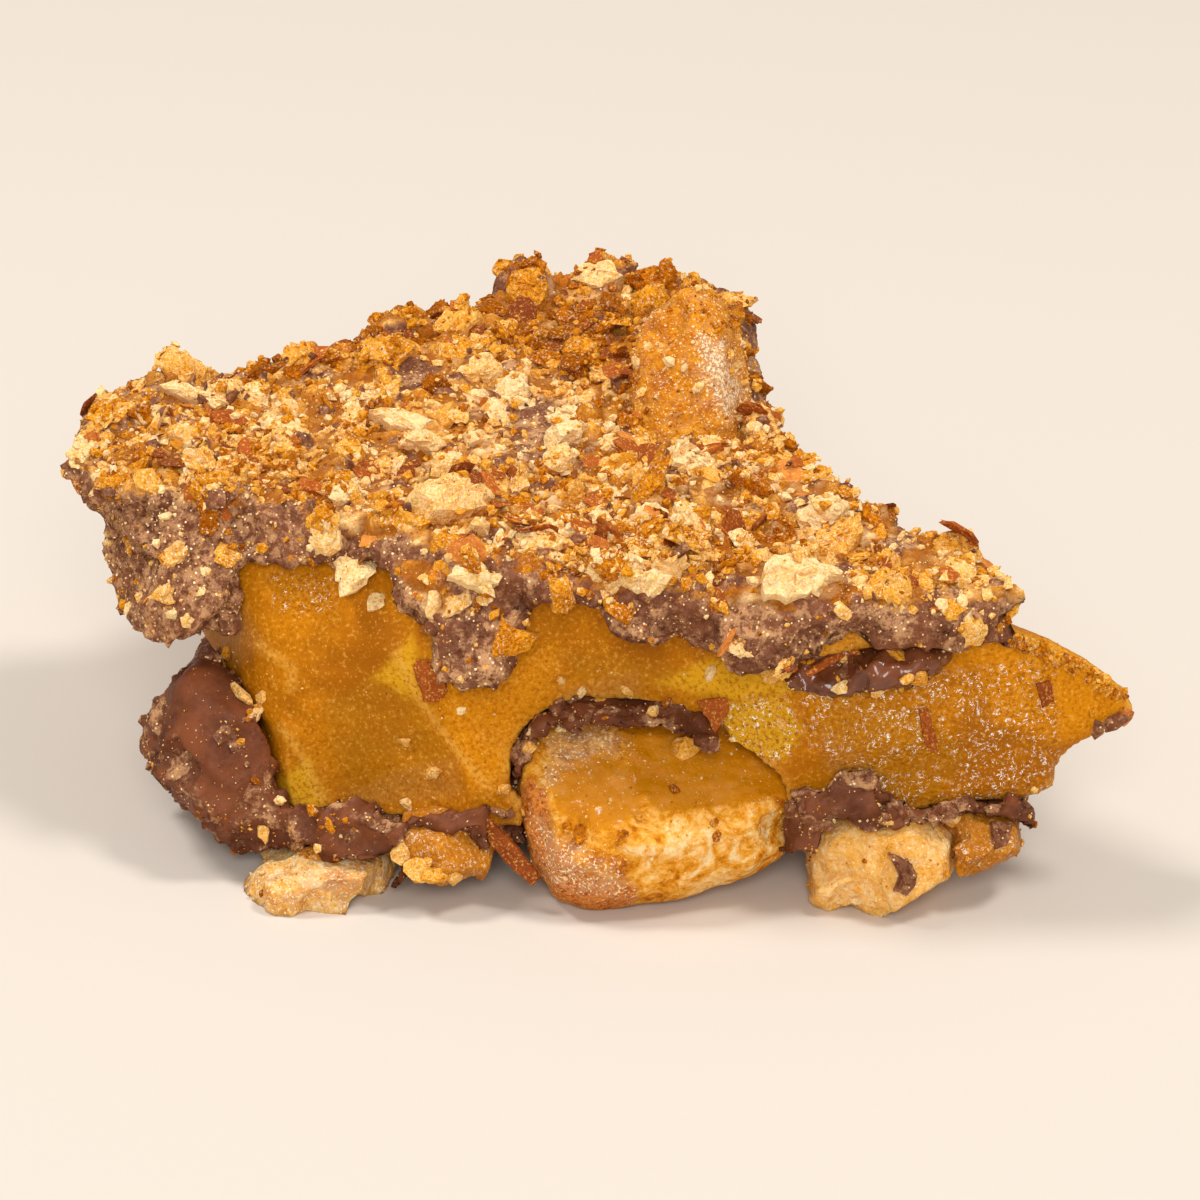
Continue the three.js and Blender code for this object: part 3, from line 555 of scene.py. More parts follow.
def toffee_finish():
    """Amber toffee: satin, glossy where it broke roughly. Glints there and a highlight along its ridges are
    painted into its colour.
    """
    finish = Finish("amber_toffee")
    cloud = finish.grain(4.0, 4, row=1)
    wobble = 0.5 * (finish.grain(1.6, 4, row=22) - 0.5)
    glitter = (finish.mark("glitter") + wobble).rise(0.15, 0.85)
    colour = finish.mix(cloud.rise(0.36, 0.68), AMBER, DEEP_AMBER)
    for name, (share, tint) in TOFFEE_TINTS.items():
        colour = finish.mix((finish.mark(name) + wobble).rise(0.1, 0.9) * share, colour, tint)
    # Ridges and cracks are painted paler: a painted highlight where light catches the edges
    colour = finish.mix(finish.mark("edge") * 0.65, colour, PALE_AMBER)
    fleck = finish.grain(0.2, 3, 0.65, row=2)
    colour = finish.mix(fleck.rise(0.50, 0.62) * (0.7 + 0.2 * glitter), colour, DEEP_AMBER)
    # Pale flecks in the grain, which also stand in for tiny glints: partly painted highlight
    colour = finish.mix((1 - fleck).rise(0.54, 0.66) * 0.5, colour, PALE_AMBER)
    pore = 1 - finish.specks(0.5, row=24)
    colour = finish.mix(pore.rise(0.80, 0.92) * 0.5, colour, BROWN_NUT)
    # Pale specks painted in as tiny warm glints: painted highlights
    pale_specks = 1 - finish.specks(0.7, row=26)
    colour = finish.mix(pale_specks.rise(0.90, 0.96) * 0.8, colour, PALE_AMBER)
    # Painted glints: small white streaks in clusters, painted into the colour where the toffee is glossy,
    # as painted highlights
    cluster = finish.grain(1.1, 4, 0.65, row=18).rise(0.39, 0.53)
    wave = finish.grain(0.3, 2, 0.5, row=17, swirl=1.2) - 0.5
    crest = 1 - (wave * wave).rise(0.0001, 0.0012)
    painted_glint_streaks = crest * finish.grain(0.22, 2, row=28).rise(0.50, 0.58) * cluster
    colour = finish.mix(painted_glint_streaks * glitter, colour, PAINTED_GLINT_WHITE)
    rough = finish.relief(finish.grain(0.2, 3, row=3) * (0.1 + 0.9 * glitter), 0.2)
    rippled = finish.relief(finish.grain(0.9, 3, row=4), 0.12, rough)
    return finish.surface(
        Base_Color=colour,
        Roughness=0.55 - 0.4 * glitter,
        Specular_IOR_Level=0.07,
        Normal=rippled,
        **soft_light(1.2, 1.6, 0.6, 0.1, 0.2),
    )


def chocolate_colour(finish, dusty):
    """Milk chocolate with a bloom, and powdered nut where it is dusty."""
    patch = finish.grain(2.2, 4, row=5)
    fine = finish.grain(0.3, 4, 0.7, row=6)
    tan = finish.grain(0.5, 5, 0.78, row=19)
    colour = finish.mix(patch.rise(0.38, 0.66), CHOCOLATE, DARK_CHOCOLATE)
    colour = finish.mix(dusty * fine.rise(0.38, 0.6), colour, BLOOM)
    colour = finish.mix((tan + 0.17 * dusty).rise(0.58, 0.72) * (0.15 + 0.75 * dusty), colour, TAN_DUST)
    powder = 1 - finish.specks(0.34, row=7)
    nutty = finish.ramp(finish.grain(0.8, 2, row=8), [(0.3, GOLDEN_NUT), (0.5, CREAM), (0.62, POWDER)])
    return finish.mix((powder + 0.3 * dusty * tan).rise(0.9, 0.97), colour, nutty)


def chocolate_finish():
    """Milk chocolate: satin, wet or dusty, and under a bed of crushed almonds where they cover it."""
    finish = Finish("milk_chocolate")
    dusty = finish.mark("dusty")
    wet = finish.mark("wet")
    mottle = finish.grain(0.6, 3, 0.6, row=20)
    meal = finish.grain(0.16, 3, 0.65, row=21)
    # Creases between the pressed crumbs are darkened to brown: painted shade
    bed = finish.mix(finish.mark("crease"), crushed_colour(finish, mottle, meal), BROWN_NUT)
    colour = finish.mix(finish.mark("nutty"), chocolate_colour(finish, dusty), bed)
    rough = finish.relief(finish.grain(0.22, 4, 0.7, row=9) * (0.15 + 0.85 * dusty), 0.2)
    return finish.surface(
        Base_Color=colour,
        Roughness=0.42 + 0.35 * dusty - 0.2 * wet,
        Specular_IOR_Level=0.12,
        Normal=finish.relief(finish.grain(0.9, 4, 0.6, row=10) * (0.2 + 0.8 * dusty), 0.25, rough),
        Coat_Weight=0.7 * wet,
        Coat_Roughness=0.12,
    )


def nut_colour(finish, tone):
    """Roasted almond from cream at 0 to brown at 1."""
    stops = [(0.0, CREAM), (0.22, PALE_NUT), (0.48, GOLDEN_NUT), (0.75, TOASTED_NUT), (1.0, BROWN_NUT)]
    return finish.ramp(tone, stops)


def crushed_colour(finish, mottle, meal):
    """Crushed almond, each crumb toasted in its own measure, with powder on it."""
    toast = finish.mark("toast")
    tone = toast + 0.7 * (mottle - 0.5) + 1.3 * (meal - 0.5)
    powder = finish.grain(0.14, 2, 0.6, row=27) + 0.4 * (mottle - 0.5)
    return finish.mix(powder.rise(0.56, 0.68) * (0.9 - 0.6 * toast), nut_colour(finish, tone), POWDER)


def nut_finish():
    """Crushed roasted almond: mealy and dull."""
    finish = Finish("crushed_almond")
    mottle = finish.grain(0.7, 3, row=11)
    meal = finish.grain(0.16, 3, 0.7, row=12)
    lumpy = finish.relief(finish.grain(0.4, 3, 0.6, row=29), 0.25)
    return finish.surface(
        Base_Color=crushed_colour(finish, mottle, meal),
        Roughness=0.62 + 0.2 * mottle,
        Specular_IOR_Level=0.02,
        Normal=finish.relief(meal, 0.2, lumpy),
        **soft_light(0.4, 0.6, 0.3, 0.1, 0.1),
    )


def skin_finish():
    """Papery red-brown almond skin."""
    finish = Finish("almond_skin")
    streak = finish.grain(0.6, 4, 0.6, row=13)
    tone = finish.mark("toast") + 0.7 * (streak - 0.5)
    colour = finish.ramp(tone, [(0.0, PALE_SKIN), (0.25, RED_SKIN), (0.75, DARK_SKIN)])
    pale_specks = finish.grain(0.16, 3, 0.7, row=30)
    return finish.surface(
        Base_Color=finish.mix(pale_specks.rise(0.52, 0.66) * 0.6, colour, PALE_NUT),
        Roughness=0.6 + 0.2 * streak,
        Specular_IOR_Level=0.15,
        Normal=finish.relief(pale_specks, 0.12, finish.relief(streak, 0.1)),
    )


def almond_finish():
    """Broken roasted almond: pale where it broke, glazed with toffee, skin left on at its edges."""
    finish = Finish("broken_almond")
    marble = finish.grain(1.5, 5, 0.6, row=14, swirl=1.6)
    meal = finish.grain(0.22, 4, 0.65, row=15)
    wobble = 0.8 * (finish.grain(1.2, 4, 0.6, row=23) - 0.5)
    dusty = finish.mark("dusty")
    glaze = (finish.mark("glaze") + wobble).rise(0.1, 1.0)
    tone = finish.mark("toast") - 0.16 * finish.mark("pale") + 0.75 * (meal - 0.5)
    tone = tone + 2.4 * finish.mark("marbled") * (marble - 0.5)
    colour = nut_colour(finish, tone)
    glazed = finish.ramp(glaze, [(0.1, GOLDEN_NUT), (0.45, ORANGE), (1.0, AMBER)])
    colour = finish.mix(glaze.rise(0.0, 0.5) * 0.9, colour, glazed)
    red = finish.ramp(meal, [(0.28, DARK_SKIN), (0.40, RED_SKIN), (0.54, PALE_SKIN)])
    colour = finish.mix((finish.mark("skin") + wobble).rise(0.3, 0.7), colour, red)
    film = (finish.grain(0.7, 4, 0.7, row=16) + 0.22 * dusty).rise(0.55, 0.85)
    colour = finish.mix(film * dusty * 0.7, colour, TAN_DUST)
    powder = finish.grain(0.13, 2, 0.6, row=25) + 0.12 * dusty
    colour = finish.mix(powder.rise(0.66, 0.74) * 0.85, colour, POWDER)
    return finish.surface(
        Base_Color=colour,
        Roughness=0.6 - 0.3 * glaze,
        Specular_IOR_Level=0.08,
        Normal=finish.relief(meal * (1 - 0.75 * glaze), 0.25, finish.relief(marble, 0.1)),
        Coat_Weight=0.35 * glaze,
        Coat_Roughness=0.15,
        **soft_light(0.8, 1.2, 0.5, 0.1, 0.2),
    )


def floor_finish():
    """Plain pale table."""
    finish = Finish("pale_table")
    return finish.surface(Base_Color=FLOOR_CREAM, Roughness=0.9, Specular_IOR_Level=0.1)


# Meshes
def column(rows, name, width, kind=float):
    """What each row of a mesh's table holds under a name, as an array of that width."""
    flat = np.empty(width * len(rows), dtype=kind)
    rows.foreach_get(name, flat)
    return flat.reshape(-1, width)


def points_of(piece):
    return column(piece.data.vertices, "co", 3) / MM


def normals_of(piece):
    return column(piece.data.vertex_normals, "vector", 3)


def move_points(piece, points):
    piece.data.vertices.foreach_set("co", (points * MM).ravel())
    piece.data.update()


def triangles_of(piece):
    piece.data.calc_loop_triangles()
    return column(piece.data.loop_triangles, "vertices", 3, np.int32)


def mark(piece, **masks):
    """Writes masks, one value for each point or one for all, for the finish to read."""
    count = len(piece.data.vertices)
    for name, values in masks.items():
        layer = piece.data.attributes.new(name, "FLOAT", "POINT")
        layer.data.foreach_set("value", np.broadcast_to(values, count).astype(np.float32))


def dress(piece, material, slot, *nodes):
    """Gives a piece its finish, fixes it to the body and hides the solids that it stands for."""
    piece.data.materials.clear()
    piece.data.materials.append(material)
    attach(piece, "root")
    if nodes:
        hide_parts(*nodes)


def fine_copy(node, name, voxel, smoothing, grow=CLOSE_GAP):
    """A finely remeshed copy of a solid, smoothed, and grown to close its half of the gap."""
    piece = bpy.data.objects.new(name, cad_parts[node].data.copy())
    bpy.context.collection.objects.link(piece)
    remesh = piece.modifiers.new("remesh", "REMESH")
    remesh.mode = "VOXEL"
    remesh.voxel_size = voxel * MM
    remesh.use_smooth_shade = True
    smooth = piece.modifiers.new("smooth", "SMOOTH")
    smooth.factor = 0.5
    smooth.iterations = smoothing
    graph = bpy.context.evaluated_depsgraph_get()
    piece_mesh = bpy.data.meshes.new_from_object(piece.evaluated_get(graph))
    piece.modifiers.clear()
    piece.data = piece_mesh
    move_points(piece, points_of(piece) + grow * normals_of(piece))
    return piece


def mesh_of(name, points, faces):
    """An object with triangles, smooth but for its sharp edges."""
    mesh = bpy.data.meshes.new(name)
    mesh.vertices.add(len(points))
    mesh.vertices.foreach_set("co", (points * MM).ravel())
    mesh.loops.add(faces.size)
    mesh.loops.foreach_set("vertex_index", faces.ravel())
    mesh.polygons.add(len(faces))
    mesh.polygons.foreach_set("loop_start", np.arange(0, faces.size, 3))
    mesh.update(calc_edges=True)
    mesh.validate()
    mesh.shade_smooth()
    mesh.set_sharp_from_angle(angle=SHARP_EDGE)
    piece = bpy.data.objects.new(name, mesh)
    bpy.context.collection.objects.link(piece)
    return piece


def ridges(piece, rounds=2):
    """How far the surface bends at each point: above 0 on ridges, below 0 in hollows."""
    points = points_of(piece)
    normals = normals_of(piece)
    edges = column(piece.data.edges, "vertices", 2, np.int32)
    here, there = np.concatenate([edges, edges[:, ::-1]]).T
    falls = -np.einsum("nd,nd->n", normals[here], unit(points[there] - points[here]))
    met = np.bincount(here, minlength=len(points))
    bend = np.bincount(here, falls, len(points)) / met
    for _ in range(rounds):
        bend = (bend + np.bincount(here, bend[there], len(points))) / (met + 1)
    return bend


def chipped(piece, seed, count, reach, depth, share=1):
    """Breaks flat chips off a piece's edges, each within a reach and up to a depth."""
    rng = np.random.default_rng(seed)
    points = points_of(piece)
    normals = normals_of(piece)
    weights = np.maximum(ridges(piece), 0) * share
    for pick in rng.choice(len(points), count, p=weights / weights.sum()):
        facing = unit(normals[pick] + 0.35 * rng.normal(size=3))
        away = points - points[pick]
        above = away @ facing + rng.uniform(0.2, 1) * depth
        near = 1 - fade(np.linalg.norm(away, axis=1), 0.75 * reach, reach)
        points -= (np.maximum(above, 0) * near)[:, None] * facing
    move_points(piece, points)


def raised(piece, heights):
    """Moves a piece's surface out by heights, but not through the table."""
    points = points_of(piece) + normals_of(piece) * heights[:, None]
    points[:, 2] = np.maximum(points[:, 2], 0)
    move_points(piece, points)


def roughened(piece, *layers, row=6, share=1):
    """Moves a piece's surface in and out in lumps: each layer is a height and a size."""
    points = points_of(piece)
    height = sum(height * lumps(points, size, row + step) for step, (height, size) in enumerate(layers))
    raised(piece, height * share)


def crumbled(points, size, row=0):
    """How far points lie from the creases between crumbs pressed together, and a value for each crumb."""
    shifted = points / size + [3.7 * row, 8.1 * row, 2.9 * row]
    found = [noise.voronoi(Vector(point)) for point in shifted.tolist()]
    nearest = np.array([gaps[:2] for gaps, _ in found])
    middles = np.array([middles[0] for _, middles in found])
    values = np.sin(middles @ CRUMB_HASH) * HASH_SCALE % 1
    return fade(nearest[:, 1] - nearest[:, 0], 0, 0.5), values


# The photo's view
def sight(pixel):
    """The line of sight through a pixel of the photo."""
    right, down = (np.array(pixel) - PHOTO_SIDE / 2) / FOCAL_PIXELS
    return unit(AHEAD + right * ACROSS - down * ABOVE)


def pixels_of(points):
    """Where the photo's view shows points."""
    seen = points - EYE
    across = FOCAL_PIXELS * (seen @ ACROSS) / (seen @ AHEAD)
    up = FOCAL_PIXELS * (seen @ ABOVE) / (seen @ AHEAD)
    return PHOTO_SIDE / 2 + np.stack([across, -up], axis=1)


def line_gaps(pixels, starts, ends):
    """How far pixels lie from the nearest of some lines."""
    sides = ends - starts
    away = pixels[:, None, :] - starts
    along = np.clip(np.einsum("nmd,md->nm", away, sides) / (sides**2).sum(axis=1), 0, 1)
    return np.linalg.norm(away - along[:, :, None] * sides, axis=2).min(axis=1)


def within(pixels, outline):
    """How far pixels lie inside an outline, below 0 outside it."""
    starts = np.array(outline, dtype=float)
    ends = np.roll(starts, -1, axis=0)
    sides = ends - starts
    away = pixels[:, None, :] - starts
    level = (away[:, :, 1] >= 0) != (away[:, :, 1] - sides[:, 1] >= 0)
    slope = np.divide(sides[:, 0], sides[:, 1], out=np.zeros(len(sides)), where=sides[:, 1] != 0)
    crossings = level & (away[:, :, 0] < slope * away[:, :, 1])
    gaps = line_gaps(pixels, starts, ends)
    return np.where(crossings.sum(axis=1) % 2 == 1, gaps, -gaps)


def covered(points, outlines, blur):
    """1 where the photo's view shows points inside outlines of pixels, fading out at their edges."""
    pixels = pixels_of(points)
    inside = np.max([within(pixels, outline) for outline in outlines], axis=0)
    return fade(inside, -blur / 2, blur / 2)


def seen_share(piece):
    """1 where the surface faces the photo's view, 0 where it faces away."""
    return fade(-normals_of(piece) @ AHEAD, 0.0, 0.25)


def painted(piece, outlines, blur):
    """A mask that is 1 inside outlines of pixels, on what faces the photo's view."""
    return covered(points_of(piece), outlines, blur) * seen_share(piece)


def traced(piece, lines, width):
    """A mask that is 1 along lines of pixels, on what faces the photo's view."""
    pixels = pixels_of(points_of(piece))
    starts = np.concatenate([line[:-1] for line in lines]).astype(float)
    ends = np.concatenate([line[1:] for line in lines]).astype(float)
    return (1 - fade(line_gaps(pixels, starts, ends), 0, width)) * seen_share(piece)


# Crumbs
class Ground:
    """What crumbs lie on: the triangles of some pieces."""

    def __init__(self, *pieces):
        corners = [points_of(piece)[triangles_of(piece)] for piece in pieces]
        self.corners = np.concatenate(corners)
        crossed = np.cross(self.corners[:, 1] - self.corners[:, 0], self.corners[:, 2] - self.corners[:, 0])
        self.areas = np.linalg.norm(crossed, axis=1) / 2
        self.normals = unit(crossed)
        self.middles = self.corners.mean(axis=1)

    @cached_property
    def tree(self):
        flat = self.corners.reshape(-1, 3)
        return BVHTree.FromPolygons(flat.tolist(), np.arange(len(flat)).reshape(-1, 3).tolist())

    def land(self, start, along):
        """Where a ray meets the ground, and the ground's normal there."""
        point, normal, _, _ = self.tree.ray_cast(Vector(start), Vector(along))
        if point is None:
            return None
        return np.array(point), np.array(normal)

    def seen_at(self, pixel):
        """What the photo's view shows at a pixel."""
        return self.land(EYE, sight(pixel))

    def sown(self, count, cover, rng):
        """Random points of the ground, as thick as its cover, with the ground's normals."""
        weights = self.areas * cover(self.middles, self.normals)
        picks = rng.choice(len(weights), count, p=weights / weights.sum())
        shares = rng.dirichlet((1, 1, 1), count)
        points = np.einsum("nc,ncd->nd", shares, self.corners[picks])
        return points, self.normals[picks]


def ball(detail):
    """Corners and triangles of a ball: 8 triangles at detail 0, then 20, 80 and 320."""
    shape = bmesh.new()
    if detail:
        bmesh.ops.create_icosphere(shape, subdivisions=detail, radius=1)
    else:
        bmesh.ops.create_uvsphere(shape, u_segments=4, v_segments=2, radius=1)
    corners = np.array([corner.co for corner in shape.verts])
    faces = np.array([[corner.index for corner in face.verts] for face in shape.faces])
    shape.free()
    return corners, faces


class Crumbs:
    """Crumbs of one kind, gathered into one piece."""

    def __init__(self, seed, detail, breaks, curl=0):
        self.rng = np.random.default_rng(seed)
        directions, self.faces = ball(detail)
        self.forms = np.stack([self.broken(directions, breaks, curl) for _ in range(CRUMB_FORMS)])
        self.batches = []

    def broken(self, directions, breaks, curl):
        """A ball broken along random planes, with a rough skin. A flake is broken upright, and curls."""
        facings = self.rng.normal(size=(breaks, 3))
        if curl:
            facings[:, 2] = 0
        reach = np.ones(len(directions))
        for facing in unit(facings):
            depth = self.rng.uniform(0.35, 0.85)
            towards = directions @ facing
            reach = np.where(towards > 0.05, np.minimum(reach, depth / np.maximum(towards, 0.05)), reach)
        reach *= 1 + 0.10 * self.rng.normal(size=len(directions))
        shape = directions * reach[:, None]
        shape /= np.abs(shape).max(axis=0)
        shape[:, 2] += self.rng.uniform(-curl, curl) * (shape[:, 0] ** 2 - 0.4)
        return shape

    def lay(self, points, normals, sizes, toasts, tilt, sunk):
        """Lays crumbs on points of a ground, spun at random, tipped a little and sunk by a share."""
        count = len(points)
        axis = unit(normals + tilt * self.rng.normal(size=(count, 3)))
        along = unit(np.cross(axis, self.rng.normal(size=(count, 3))))
        turns = np.stack([along, np.cross(axis, along), axis], axis=-1)
        forms = self.forms[self.rng.integers(len(self.forms), size=count)]
        turned = np.einsum("nij,nvj->nvi", turns, forms * (sizes / 2)[:, None, :])
        centres = points + normals * (0.5 - sunk) * sizes[:, 2:]
        self.add(turned + centres[:, None, :], self.faces, toasts)

    def lay_one(self, found, size, toast, tilt=0.2, sunk=0.45):
        """Lays one crumb where a ray landed."""
        point, normal = found
        self.lay(point[None], normal[None], np.array([size]), np.array([toast]), tilt, sunk)

    def add(self, points, faces, toasts):
        """Adds crumbs with their own corners, on the same triangles."""
        self.batches.append((points, faces, toasts))

    def gathered(self, name):
        """The piece that holds all crumbs so far."""
        all_points, all_faces, all_toasts = [], [], []
        start = 0
        for points, faces, toasts in self.batches:
            count, corners, _ = points.shape
            firsts = start + corners * np.arange(count)
            all_points.append(points.reshape(-1, 3))
            all_faces.append((firsts[:, None, None] + faces).reshape(-1, 3))
            all_toasts.append(np.repeat(toasts, corners))
            start += count * corners
        points = np.concatenate(all_points)
        points[:, 2] = np.maximum(points[:, 2], 0)
        piece = mesh_of(name, points, np.concatenate(all_faces))
        mark(piece, toast=np.concatenate(all_toasts))
        return piece


def even_spread(rule):
    """Places and lengths of a rule's crumbs: spread evenly over a rectangle, the largest first."""
    step = np.arange(rule["count"])
    shares = np.stack([(0.5 + step / PLASTIC_NUMBER) % 1, (0.5 + step / PLASTIC_NUMBER**2) % 1], axis=1)
    low = np.array(rule["low"])
    places = low + shares * (np.array(rule["high"]) - low) + ORIGIN[:2]
    lengths = rule["largest"] + (rule["smallest"] - rule["largest"]) * np.sqrt(step / rule["count"])
    return places, lengths


def crumb_sizes(rng, count, length, flatness):
    """Sizes along, across and through, many small and few large."""
    lengths = length[0] + (length[1] - length[0]) * rng.random(count) ** 2.2
    widths = lengths * rng.uniform(0.55, 1.0, count)
    return np.stack([lengths, widths, widths * flatness * rng.uniform(0.7, 1.3, count)], axis=1)


def crumb_toasts(rng, points):
    """How toasted each crumb is: alike in patches, and darker towards the back of the piece."""
    patches = 0.42 * lumps(points, 3.2, row=30) + 0.26 * fade(points[:, 1], 0, 12)
    tones = rng.choice(TONES, len(points), p=TONE_SHARES)
    return np.clip(0.75 * tones + 0.07 + patches + 0.04 * rng.normal(size=len(points)), 0, 0.95)


def flake_faces():
    """Triangles of a flake: its middle above, rings out to its rim and back in below, its middle below."""
    last = 2 * FLAKE_RINGS * FLAKE_SIDES + 1
    faces = []
    for side in range(FLAKE_SIDES):
        beside = (side + 1) % FLAKE_SIDES
        faces.append((0, 1 + side, 1 + beside))
        for ring in range(2 * FLAKE_RINGS - 1):
            first = 1 + ring * FLAKE_SIDES
            second = first + FLAKE_SIDES
            faces.append((first + side, second + side, second + beside))
            faces.append((first + side, second + beside, first + beside))
        under = last - FLAKE_SIDES
        faces.append((under + beside, under + side, last))
    return np.array(faces)


def flake_points(ground, rng, outline, thick, faces=None):
    """Corners of a flake that lies on the higher parts of the ground within an outline of pixels."""
    seen = [found for found in map(ground.seen_at, outline) if found]
    facing = unit(np.sum([normal for _, normal in seen], axis=0) if faces is None else np.array(faces))
    height = np.quantile([point @ facing for point, _ in seen], FLAKE_REST)
    lines = np.array([sight(pixel) for pixel in outline])
    corners = EYE + lines * ((height - EYE @ facing) / (lines @ facing))[:, None]
    rim = corners - corners.mean(axis=0)
    if np.cross(rim[0], rim[1]) @ facing < 0:
        rim = rim[::-1]
    closed = np.vstack([rim, rim[:1]])
    along = np.concatenate([[0], np.cumsum(np.linalg.norm(np.diff(closed, axis=0), axis=1))])
    steps = np.linspace(0, along[-1], FLAKE_SIDES, endpoint=False)
    rim = np.stack([np.interp(steps, along, closed[:, axis]) for axis in range(3)], axis=1)
    rim *= 1 + 0.05 * rng.normal(size=(FLAKE_SIDES, 1))
    shares = np.arange(1, FLAKE_RINGS + 1) / FLAKE_RINGS
    through = facing * thick
    upper = [rim * share * 0.96 + through * (FLAKE_ABOVE - 0.2 * share**4) for share in shares]
    lower = [rim * share - through * FLAKE_BELOW for share in shares[::-1]]
    points = np.vstack([through * FLAKE_ABOVE, *upper, *lower, -through * FLAKE_BELOW])
    rough = facing * (0.05 * thick * rng.normal(size=len(points)))[:, None]
    return points + corners.mean(axis=0) + rough


# Toffee
def scooped(points, at, faces, radius, depth):
    """Points moved level with the table out of a round scoop."""
    centre = ORIGIN + at + unit(np.array(faces, dtype=float)) * (radius - depth)
    away = points - centre
    inside = np.linalg.norm(away, axis=1) < radius
    reach = np.sqrt(np.maximum(radius**2 - away[:, 2] ** 2, 0))
    level = unit(away[:, :2]) * reach[:, None] + centre[:2]
    moved = points.copy()
    moved[inside, :2] = level[inside]
    return moved


def make_toffee(material):
    """The slab, with the crisp scoops and ripples that the break left."""
    slab = fine_copy("toffee", "toffee_slab", TOFFEE_VOXEL, 4)
    points = points_of(slab)
    for scoop in SCOOPS.values():
        points = scooped(points, **scoop)
    move_points(slab, points)
    masks = {name: painted(slab, outlines, TOFFEE_BLUR) for name, outlines in TOFFEE_REGIONS.items()}
    clouds = lumps(points, 7, row=1)
    unseen_masks = {
        "orange": fade(clouds, 0.1, 0.5),
        "yellow": 0.4 * fade(-clouds, 0.2, 0.6),
        "deep": 0.8 * fade(lumps(points, 8, row=33), 0.1, 0.5),
        "glitter": fade(lumps(points, 6, row=2), 0.0, 0.4),
    }
    for name, values in unseen_masks.items():
        masks[name] = np.maximum(masks[name], values * (1 - seen_share(slab)))
    # The edge mask is the painted highlight along the ridges and the traced cracks
    cracks = 0.9 * traced(slab, TOFFEE_CRACKS, CRACK_WIDTH)
    masks["edge"] = np.maximum(fade(ridges(slab), 0.05, 0.2), cracks)
    roughened(slab, (0.10, 2.4), (0.04, 0.8), row=3)
    roughened(slab, (0.08, 0.5), row=5, share=masks["glitter"])
    mark(slab, **masks)
    dress(slab, material, "toffee", "toffee")
    return slab


def make_chips(material):
    """Loose chips of toffee under the lower coat."""
    chips = []
    for side in ("left", "right"):
        chip = fine_copy(f"toffee_chip_{side}", f"chip_{side}", SMALL_VOXEL, 3)
        chipped(chip, seed=11, count=12, reach=1.2, depth=0.3)
        roughened(chip, (0.10, 1.2), (0.04, 0.5), row=5)
        # Their ridges get the painted highlight too
        mark(chip, milky=0.5, glitter=0.5, edge=0.5 * fade(ridges(chip), 0.08, 0.25))
        dress(chip, material, "toffee", f"toffee_chip_{side}")
        chips.append(chip)
    return chips


# Chocolate
def make_upper_coat(material):
    """The upper coat: crushed almonds pressed into its top, crumbly chocolate down its sides."""
    coat = fine_copy("chocolate_top", "upper_coat", COAT_VOXEL, 3)
    points = points_of(coat)
    top = fade(normals_of(coat)[:, 2], 0.4, 0.8)
    chipped(coat, seed=21, count=220, reach=1.5, depth=0.5, share=1 - 0.9 * top)
    coarse, coarse_values = crumbled(points, 1.7, row=1)
    small, values = crumbled(points, 0.85, row=2)
    heights = 0.45 * coarse * coarse_values + 0.30 * small * (0.4 + 0.6 * values) - 0.15
    raised(coat, heights * (0.7 + 0.3 * top))
    macro = 0.16 * lumps(points, 9, row=15) + 0.14 * fade(points[:, 1], 2, 14)
    toast = 0.02 + 0.55 * coarse_values**1.5 + 0.35 * values**2 + macro
    bare = np.maximum(values > 0.86, covered(points, BARE_PATCHES, PATCH_BLUR))
    nutty = top * (1 - bare) + 0.3 * coarse_values > 0.9
    # Painted shade in the creases between the pressed crumbs
    crease = np.maximum(1 - coarse, 0.75 * (1 - small))
    patchy = fade(lumps(points, 1.6, row=12), -0.1, 0.4)
    lobe = 0.6 * fade(-points[:, 0], 13, 17)
    dusty = 0.5 + 0.5 * np.maximum(patchy, lobe)
    mark(coat, dusty=dusty, nutty=nutty, toast=toast, crease=0.9 * crease)
    dress(coat, material, "chocolate", "chocolate_top")
    return coat


def make_lower_coat(material):
    """The lower coat: crumbly and dusty, but for the satin face of the lump at its left."""
    coat = fine_copy("chocolate_base", "lower_coat", COAT_VOXEL, 3)
    satin = painted(coat, SATIN_LUMP, SATIN_BLUR)
    chipped(coat, seed=22, count=200, reach=1.4, depth=0.5, share=1 - satin)
    points = points_of(coat)
    coarse, coarse_values = crumbled(points, 1.5, row=3)
    small, values = crumbled(points, 0.7, row=4)
    heights = 0.42 * coarse * coarse_values + 0.24 * small * values - 0.28
    raised(coat, heights * (1 - satin))
    roughened(coat, (0.07, 2.5), row=8, share=satin)
    patchy = fade(lumps(points, 1.8, row=13), -0.1, 0.4)
    mark(coat, dusty=(0.1 + 0.9 * patchy) * (1 - 0.95 * satin))
    dress(coat, material, "chocolate", "chocolate_base")
    return coat


def make_streak(material):
    """The crinkled, wet streak of chocolate in the toffee's front."""
    streak = fine_copy("chocolate_seam", "streak", SMALL_VOXEL, 2, grow=0.3)
    chipped(streak, seed=23, count=14, reach=1.4, depth=0.4)
    roughened(streak, (0.30, 1.1), (0.16, 0.45), row=9)
    mark(streak, wet=1)
    dress(streak, material, "chocolate", "chocolate_seam")
    return streak


